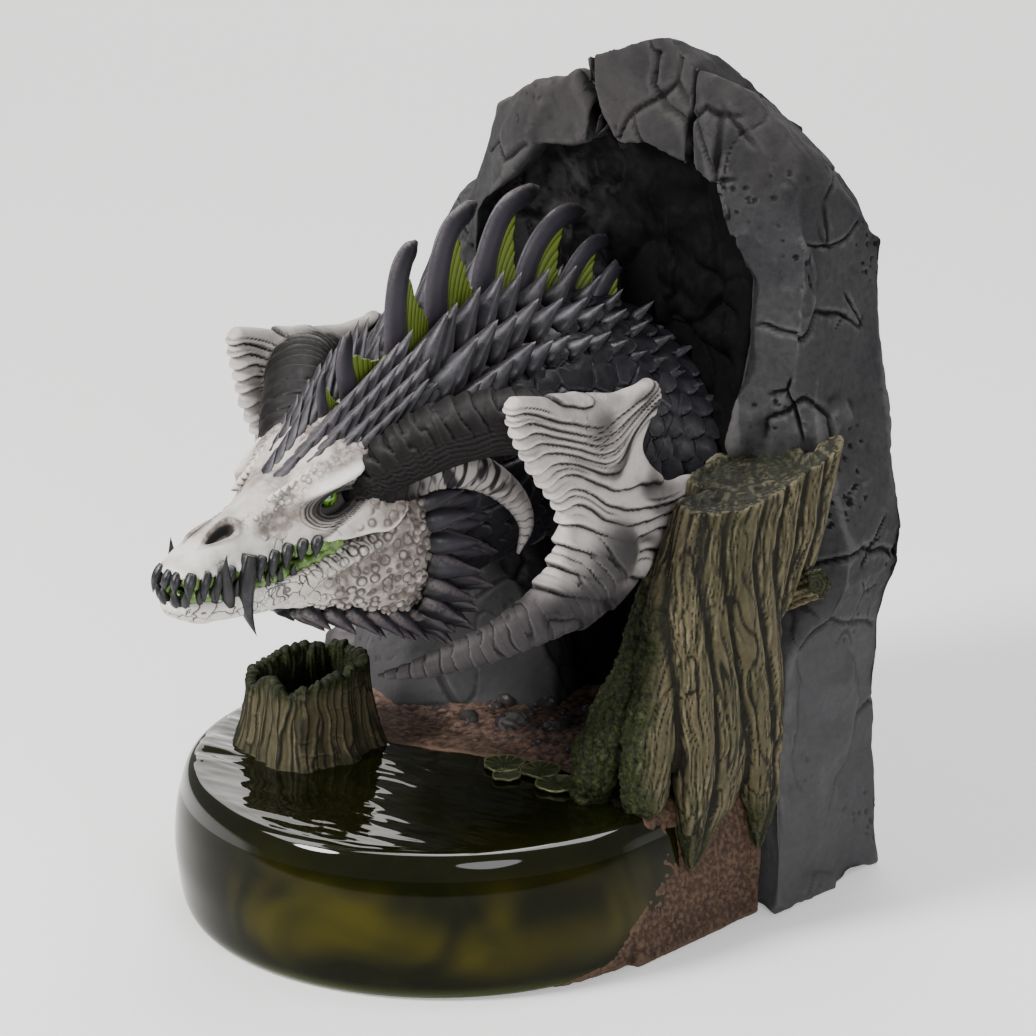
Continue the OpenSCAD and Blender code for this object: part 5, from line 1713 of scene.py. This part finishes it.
def make_teeth():
    rng = np.random.default_rng(21)
    upper, lower, fangs = [], [], []
    front_up = [(-119.8, 6.4), (-115.6, 7.2), (-111.4, 7.2), (-107.6, 5.4)]
    rear_up = [(-97.0, 6.0), (-92.8, 6.6), (-88.6, 5.8), (-84.4, 5.0), (-80.6, 4.2)]
    front_low = [(-121.0, 5.2), (-117.2, 5.8), (-113.2, 6.2), (-105.6, 5.2)]
    rear_low = [(-95.2, 4.8), (-90.8, 4.6), (-86.4, 4.0)]
    for side in (-1, 1):
        for y, long in front_up + rear_up:
            w, z = lip_at(y, SKULL, 5)
            w -= 0.2
            long *= rng.uniform(0.9, 1.1)
            upper.append(tooth((HEAD_X + side * (w - 0.6), y, z + 1.4),
                               (HEAD_X + side * (w + 1.0), y - 2.8, z - long), 1.62, bend=0.10))
        for y, long in front_low + rear_low:
            w, z = lip_at(y, JAW, 2)
            long *= rng.uniform(0.9, 1.1)
            lower.append(tooth((HEAD_X + side * (w - 1.2), y, z - 1.2),
                               (HEAD_X + side * (w + 1.0), y - 1.2, z + long), 1.25, bend=0.10))
        lower.append(tooth((HEAD_X + side * 9.6, -109.0, 122), (HEAD_X + side * 11.2, -111.5, 138.6),
                           1.9, bend=0.06, rings=30))
        fangs.append(tooth((HEAD_X + side * 10.4, -101.5, 135.6),
                           (HEAD_X + side * 10.6, -99.4, 110.2), 2.7, bend=0.13, rings=44, sides=30))
    for k in (-1.6, 1.6):
        upper.append(tooth((HEAD_X + k, -121, 133), (HEAD_X + k * 1.3, -123.2, 126.6), 1.5))
        lower.append(tooth((HEAD_X + k * 1.4, -122.4, 123.8), (HEAD_X + k * 1.5, -123.4, 129.4), 1.4))
    mat = tooth_paint()
    piece("teeth_upper", joined(upper), mat, "tooth", "upper_teeth")
    piece("teeth_lower", joined(lower), mat, "tooth", "lower_teeth")
    piece("long_fangs", joined(fangs), mat, "tooth", "fangs")


def make_eyes():
    mat = eye_paint()
    for side, node in ((1, "eye_left"), (-1, "eye_right")):
        m, n = int(90 / FINE), int(120 / FINE)
        a = np.linspace(0, math.pi, m)[:, None]
        b = turns(n)[None]
        look = unit(np.array([side * 0.93, -0.33, 0.05]))
        u = unit(np.cross(look, (0, 0, 1)))
        v = np.cross(u, look)
        r = 3.5 + 0.3 * np.exp(-(a / 0.5) ** 2)
        co = ((np.cos(a) * r)[..., None] * look
              + (np.sin(a) * np.cos(b) * r)[..., None] * u
              + (np.sin(a) * np.sin(b) * r)[..., None] * v)
        at = np.array([HEAD_X + side * (EYE[0] - 3.75), EYE[1] + 0.2, EYE[2] + 0.1])
        across, up = np.sin(a) * np.cos(b) * 3.5, np.sin(a) * np.sin(b) * 3.5
        slit = np.exp(-((across * 0.9 + up * 0.25) / 0.34) ** 2) * (np.abs(up) < 2.0)
        iris = smoothstep(2.5, 2.0, np.sqrt(across ** 2 + up ** 2)) + 0 * b
        s = grid(co + at, pupil=slit, iris=iris * (0.75 + 0.25 * np.cos(b * 24 + 3 * np.sin(5 * b))))
        piece(node.replace("eye", "eyeball"), s, mat, "eye", node)


def make_head_spikes():
    rng = np.random.default_rng(31)
    crest, thorns, fan = [], [], []
    for side in (-1, 1):
        # long feather-like plates along the top of the head
        for off, y0, count in ((2.6, -84, 9), (6.6, -78, 8), (10.6, -70, 6), (13.6, -62, 4)):
            for k in range(count):
                y = y0 + 4.9 * k
                z = (np.interp(y, [-92, -80, -66, -54, -38], [147.5, 153, 161, 166, 171])
                     - 0.020 * off ** 2 - 1.2)
                at = (HEAD_X + side * (off + 0.4 * k), y, z)
                way = np.array([side * (0.12 + 0.02 * off), 0.95, 0.66 + 0.06 * k])
                crest.append(claw(at, way, 11.5 + 1.2 * k, 5.0 + 0.35 * k, (side * 0.3, -0.3, 1),
                                  0.10, rings=20, sides=16, thick=0.32))
        # small bone thorns where the plates meet the skull
        for k in range(17):
            f = k / 16
            y = -90 + 38 * f
            z = np.interp(y, [-92, -80, -66, -54], [147.2, 152.0, 158.4, 161.5]) - 0.4 - 1.2 * f
            at = (HEAD_X + side * (6.6 + 8.4 * f), y, z)
            thorns.append(claw(at, (side * 0.4, 0.5, 0.9), 2.6 + 1.2 * f, 2.2, (0, 0, 1), 0.1,
                               rings=10, sides=10))
        # fan behind the cheek, in three layers
        for layer, (count, long, back) in enumerate(((9, 18, 0.0), (9, 16, 6.0), (8, 15, 12.0))):
            for k in range(count):
                a = math.radians(-92 + 176 * k / (count - 1) + 9 * layer)
                at = (HEAD_X + side * (19.0 + 7.5 * math.cos(a) - 0.8 * layer), -46 + back,
                      123 + (17.5 + 1.2 * layer) * math.sin(a))
                way = (side * (0.45 + 0.42 * math.cos(a)), 0.92, 0.70 * math.sin(a) - 0.26)
                fan.append(claw(at, way, long * rng.uniform(0.88, 1.08), 7.6,
                                (side * 0.6, 0, -0.1 + math.sin(a)), -0.12,
                                rings=20, sides=16, thick=0.72))
        # long claws under the jaw, pointing back and down, in two rows
        for off, y0, z0, count, spread in ((9, -79, 113.5, 6, 12), (3.5, -76, 111.0, 5, 12)):
            for k in range(count):
                f = k / (count - 1)
                at = (HEAD_X + side * (off + spread * f), y0 + 32 * f, z0 - 6.0 * f)
                fan.append(claw(at, (side * 0.26, 0.78, -0.74), 12 + 7 * f, 7.0 + 0.8 * f,
                                (0, 0.3, -1), 0.12,
                                rings=22, sides=16, thick=0.7))
    mat = bpy.data.materials["spike_paint"]
    piece("crest_thorns", joined(crest), mat, "dark_spike", "crest_plates")
    piece("jaw_thorns", joined(fan), mat, "dark_spike", "jaw_spikes")
    thorns = joined(thorns)
    # painted shade at the thorns' roots where they meet the skull, in the same value as the bone's grime
    thorns.values["grime"] = thorns.values.pop("wash")
    thorns.values.pop("cool")
    piece("brow_thorns", thorns, bpy.data.materials["bone_paint"], "bone")


# ---------------------------------------------------------------- dragon: horns


BLADE_EDGE = [      # the blade's outline as (y, z), with how far the growth lines have got there
    (-44.5, 179.5, 0.0), (-36, 177.5, 0.0), (-26, 174.5, 0.0), (-14, 172, 0.0), (-1, 170, 0.0),
                    (8, 169.6, 0.0),
    (14.5, 170, 0.03), (17.5, 166.5, 0.22), (17, 161.5, 0.38), (12.5, 157, 0.46), (9.5, 153, 0.48),
                    (9.5, 149.5, 0.49),
    (13, 144.5, 0.495), (19, 139.5, 0.50), (25, 136.8, 0.505), (32, 136, 0.51), (36, 134.5, 0.53),
                    (35.5, 131.8, 0.57),
    (31, 128, 0.63), (25, 123.5, 0.70), (17, 117.5, 0.78), (8, 111.5, 0.86), (-2, 107, 0.91),
                    (-13, 104, 0.96),
    (-24, 104, 1.0), (-33, 109, 1.0), (-34, 116, 0.97), (-29, 123, 0.89), (-25.5, 128.5, 0.81),
                    (-24, 134, 0.73),
    (-25, 139.5, 0.65), (-29, 145.5, 0.56), (-34, 151.5, 0.46), (-38, 157, 0.37), (-41.5, 162.5, 0.28),
    (-44, 167.5, 0.19), (-46, 172, 0.11), (-47, 176.5, 0.03), (-44.5, 179.5, 0.0)]
BLADE = catmull(BLADE_EDGE, 5)[:-1]
BLADE_X = 57.5           # the middle of the blade's thickness
NOTCH = (9.5, 151)       # the hollow in the blade's rear edge
HORNS_X = 2.5            # the two great horns mirror about this
HORN_TUBE = [(14, -61, 146, 6.4), (20, -55, 154, 8.4), (29, -46, 161, 9.6), (37, -37, 164.5, 9.8),
             (45, -28, 165, 9.4), (54, -12, 162, 8.0)]
HORN_SHAFT = [(56.5, -6, 123, 10.0), (56, -19, 113.5, 8.8), (55, -30, 108.6, 7.2),
              (51, -36.5, 105.2, 6.4), (46, -41.7, 101.4, 5.5),
              (39, -46.8, 97.6, 4.6), (31, -52.3, 93.6, 3.5), (25, -56.5, 91.3, 2.3),
              (19.5, -61.2, 90.1, 0.7)]
TUCKED_SHAFT = [(56.5, -6, 123, 10.0), (55, -14, 112, 8.0), (53, -17, 104, 5.5), (52, -17, 98, 0.8)]


def growth(q):
    """How far the growth lines have got at 2-D points, from the outline's own values."""
    edge = resample(np.c_[BLADE[:, :2], np.zeros(len(BLADE)), BLADE[:, 2]], 300)
    total, weight = np.zeros(len(q)), np.zeros(len(q))
    for y, z, _, value in edge:
        w = 1 / ((q[:, 0] - y) ** 2 + (q[:, 1] - z) ** 2 + 5) ** 1.5
        total += w * value
        weight += w
    return total / weight


def great_horn(shaft_line):
    """A ribbed tube from the skull, a broad grooved blade and a ringed point."""
    root, shaft = Strands([HORN_TUBE], 1.0), Strands([shaft_line], 1.0)
    turn = math.radians(3)

    def local(p):
        """Into the blade's own plane: across it, then (y, z)."""
        x, y = p[:, 0] - BLADE_X, p[:, 1]
        across = x * math.cos(turn) + y * math.sin(turn)
        along = -x * math.sin(turn) + y * math.cos(turn)
        return across, np.stack([along, p[:, 2]], 1)

    def parts(p):
        across, q = local(p)
        d = polygon_sdf(q, BLADE[:, :2])
        half = 2.9 + 1.3 * smoothstep(0, -14, d) + 2.2 * smoothstep(126, 108, p[:, 2])
        bow = across - 1.6 * np.sin((q[:, 0] + 10) / 22) + 1.2
        k = 2.6
        e = np.maximum(d + k, 0) ** 2 + np.maximum(np.abs(bow) - half + k, 0) ** 2
        blade = np.sqrt(e) + np.minimum(np.maximum(d + k, np.abs(bow) - half + k), 0) - k
        return blade, root.field(p), shaft.field(p)

    def field(p):
        blade, a, b = parts(p)
        k = 2.2
        low = np.minimum(np.minimum(blade, a), b)
        return (low - k * np.log(np.exp(-(blade - low) / k) + np.exp(-(a - low) / k)
                                 + np.exp(-(b - low) / k)) * 0.8)

    s = surface_nets(field, (4, -72, 82), (74, 44, 186), 0.52 * FINE).relax(2)
    n, p = s.normals(), s.co.copy()
    near = np.stack(parts(p))
    near = np.exp(-(near - near.min(0)) / 1.4)
    on_blade, on_tube, on_shaft = near / near.sum(0)
    across, q = local(p)

    # growth lines, each the lip of a terrace
    def terraces(q):
        wave = (0.020 * noise(np.c_[q * 0.8, 0 * q[:, 0] + 3], 15, 3)
                + 0.005 * noise(np.c_[q, 0 * q[:, 0] + 9], 6, 7))
        return 14 * (growth(q) + wave)

    f = terraces(q)
    slope = np.hypot(terraces(q + (0.5, 0)) - f, terraces(q + (0, 0.5)) - f) / 0.5 + 0.02
    step, thin = f % 1, 0.50 if FINE < 1.2 else 0.75
    firm = smoothstep(-0.6, -0.1, noise(np.c_[q * 0.4, np.round(f) * 7.7], 13, 5))
    to_lip = np.minimum(step, 1 - step) / slope
    lip = bell(to_lip, thin) * (0.5 + 0.5 * firm)
    between = np.abs(step - 0.5 - 0.12 * noise(np.c_[q, np.floor(f) * 3.3], 16, 11)) / slope
    hair = (bell(between, 0.8 * thin)
            * smoothstep(-0.1, 0.3, noise(np.c_[q * 0.5, np.floor(f) * 5.1], 11, 6)))
    to_notch = np.hypot(q[:, 0] - NOTCH[0], q[:, 1] - NOTCH[1])
    near_notch = smoothstep(30, 8, to_notch)

    # rings round the tube and the point
    _, _, run_a, off_a, _ = root.field(p, True)
    _, _, run_c, off_c, _ = shaft.field(p, True)
    up_a = off_a[:, 2] / (np.linalg.norm(off_a, axis=1) + 1e-6)
    crown = smoothstep(-0.15, 0.35, up_a)
    ribs = (run_a + 3.5 * up_a + 1.0 * noise(p, 8, 4)) / 5.2
    rib_lip = seam_line(ribs, 0.09) * crown
    strand = np.arctan2(off_a[:, 2], off_a[:, 0]) * 4.6 + 1.1 * noise(p, 14, 6)
    strand_line = seam_line(strand, 0.13) * (1 - crown)
    rings = (run_c - 2.2 * np.abs(off_c[:, 0]) / 8 + 1.6 * noise(p, 11, 8)) / 4.6
    ring_lip = seam_line(rings, 0.085) * smoothstep(-0.5, 0.0, noise(p, 9, 12))

    amount = (on_blade * (1.15 * (step - 0.5) - 0.5 * lip - 0.35 * hair + 0.25 * noise(p, 9, 3))
              + on_tube * (1.3 * (ribs % 1 - 0.5) * crown - 0.5 * rib_lip - 0.7 * strand_line)
              + on_shaft * (0.55 * (rings % 1 - 0.5) - 0.35 * ring_lip))
    front_y = np.interp(q[:, 1], [104, 116, 123, 134, 145, 157, 167, 176],
                        [-28, -34, -29, -24, -29, -38, -44, -47])
    serrate = smoothstep(9, 1, np.abs(q[:, 0] - front_y))
    amount += on_blade * serrate * (1.1 * (step - 0.5) - 0.8 * lip) * smoothstep(178, 168, q[:, 1])
    s.push(amount, n)
    s.paint(1, 8, 0.5)
    low = smoothstep(121, 110, p[:, 2] + 0.16 * (p[:, 1] + 10))
    s.values["line"] = held(on_blade * (0.95 * lip + 0.45 * hair) + on_tube * 0.5 * rib_lip
                            + on_shaft * 0.9 * ring_lip)
    s.values["char"] = held(on_tube * 1.3 - 0.15)
    streak = noise(np.c_[f * 4.3, q[:, 0] * 0.25, q[:, 1] * 0.1], 5, 14)
    lower_right = smoothstep(-8, 8, q[:, 0]) * smoothstep(134, 122, q[:, 1])
    streaks = smoothstep(0.10, 0.45, streak) * (0.85 * near_notch + 0.75 * lower_right)
    s.values["shadow"] = held(on_blade * (streaks + 0.22 * bell(to_lip, 1.2))
                              + (on_blade * low + on_shaft) * 0.95)
    return s


def make_horns():
    """The great horns; the far one's point is tucked in behind the jaw."""
    mat = horn_paint()
    piece("great_horn_left", great_horn(HORN_SHAFT), mat, "horn", "horn_left")
    far = great_horn(TUCKED_SHAFT).mirrored(HORNS_X)
    y, z = far.co[:, 1].copy(), far.co[:, 2].copy()
    far.co[:, 1] -= 11 * bell(z - 138, 24) * smoothstep(2, -22, y)
    far.co[:, 2] -= 2.3
    piece("great_horn_right", far, mat, "horn", "horn_right")


def make_cheek_horns():
    """The ringed horns that curl down behind the cheeks."""
    line = [(15, -60, 143, 5.6, 5.6), (20, -53, 147, 6.2, 6.2), (26, -42, 150, 6.0, 6.0),
            (31, -30, 146.5, 5.2, 5.2),
            (33.5, -19, 137.5, 3.9, 3.9), (33, -12.5, 127, 2.3, 2.3), (29.5, -12, 117, 0.5, 0.5)]
    rings, sides = int(460 / FINE), int(90 / FINE)

    def bands(t, a):
        return t * 21 + 0.20 * np.sin(a * 2) + 0.10 * np.sin(a * 5 + 9 * t)

    def shape(t, a):
        q = bands(t, a)
        lip = seam_line(q, 0.10)
        return 1 - 0.05 * lip + 0.05 * (q % 1 - 0.5)

    s = swept(line, rings, sides, up=(1, 0, 0), shape=shape)
    t, a = s.values.pop("along"), s.values.pop("around") * TAU
    q = bands(t, a)
    s.paint(1, 6, 0.4)
    streak = smoothstep(-0.15, 0.35, noise(np.c_[np.cos(a) * 2, np.sin(a) * 2, t * 90], 2.2, 5))
    s.values["line"] = held(seam_line(q, 0.10) * (0.5 + 0.5 * streak))
    s.values["char"] = held(smoothstep(0.30, 0.12, t))
    s.values["shadow"] = held(smoothstep(0.84, 0.50, t) * (0.45 + 0.55 * streak))
    mat = bpy.data.materials["horn_paint"]
    piece("small_horn_left", s, mat, "cheek_horn", "cheek_horn_left")
    piece("small_horn_right", s.mirrored(HEAD_X), mat, "cheek_horn", "cheek_horn_right")




# ---------------------------------------------------------------- floor, light and camera

CAMERA_AZIMUTH, CAMERA_HEIGHT = 42, 19.5       # degrees, round from -Y and up
CAMERA_TARGET, CAMERA_DISTANCE = (0.0146, 0.0045, 0.120), 1.6
SENSOR_WIDTH, LENS_PER_SENSOR = 36, 5410 / 1036     # a long lens: its length over the sensor's width
FLOOR_GLOW, SKY = 0.32, 0.30
LIGHTS = (      # name, place, size, watts, colour
    ("key", (-0.45, -1.15, 1.10), 0.50, 38, (1.0, 0.97, 0.95)),
    ("fill", (1.4, -0.7, 0.75), 0.8, 12, (0.97, 0.98, 1.0)),
    ("top", (0.0, 0.25, 1.35), 0.7, 8, (1.0, 0.97, 0.97)),
    ("strip", (-0.02, 0.02, 1.35), 0.4, 60, (1.0, 1.0, 1.0)),
    ("rim", (-1.25, 1.40, 0.80), 1.6, 20, (1.0, 0.98, 0.94)))


def make_stage():
    """A pale floor under soft light."""
    floor_mat = Paint("studio_floor", 0.9, 0.2)
    floor_mat.colour((0.90, 0.90, 0.90))
    floor_mat.bsdf.inputs["Emission Color"].default_value = (1, 1, 1, 1)
    floor_mat.bsdf.inputs["Emission Strength"].default_value = FLOOR_GLOW
    bpy.ops.mesh.primitive_plane_add(size=12, location=(0, 0, 0))
    floor = bpy.context.object
    floor.name = "studio_floor"
    floor.data.materials.append(floor_mat.mat)
    world = bpy.data.worlds.new("studio")
    bpy.context.scene.world = world
    world.use_nodes = True
    world.node_tree.nodes["Background"].inputs["Color"].default_value = (1, 1, 1, 1)
    world.node_tree.nodes["Background"].inputs["Strength"].default_value = SKY
    middle = Vector((0, 0, 0.12))
    for name, at, size, power, tone in LIGHTS:
        light = bpy.data.lights.new(name, "AREA")
        light.shape, light.size, light.energy, light.color = "DISK", size, power, tone
        o = bpy.data.objects.new(name, light)
        bpy.context.scene.collection.objects.link(o)
        o.location = at
        o.rotation_euler = (middle - Vector(at)).to_track_quat("-Z", "Y").to_euler()
        if name == "strip":         # seen only in reflections: the bright line along the pond's rim
            light.shape, light.size, light.size_y = "RECTANGLE", 3.0, 0.55
            o.rotation_euler = (0, 0, math.radians(CAMERA_AZIMUTH))
            o.visible_diffuse = False


def make_camera():
    """The camera at the photo's viewing angle."""
    a, e = math.radians(CAMERA_AZIMUTH), math.radians(CAMERA_HEIGHT)
    back = Vector((math.sin(a) * math.cos(e), -math.cos(a) * math.cos(e), math.sin(e)))
    cam = bpy.data.cameras.new("camera")
    cam.sensor_width, cam.lens = SENSOR_WIDTH, SENSOR_WIDTH * LENS_PER_SENSOR
    o = bpy.data.objects.new("camera", cam)
    bpy.context.scene.collection.objects.link(o)
    o.location = Vector(CAMERA_TARGET) + back * CAMERA_DISTANCE
    o.rotation_euler = back.to_track_quat("Z", "Y").to_euler()
    bpy.context.scene.camera = o


for make in (make_rock, make_earth, make_stones, make_pond, make_pads, make_tree, make_branch,
             make_stump, finish_inner_parts, make_neck, make_neck_claws, make_spines, make_fins,
             make_skull, make_jaw, make_gums, make_teeth, make_eyes, make_head_spikes, make_horns,
             make_cheek_horns, make_stage, make_camera):
    make()
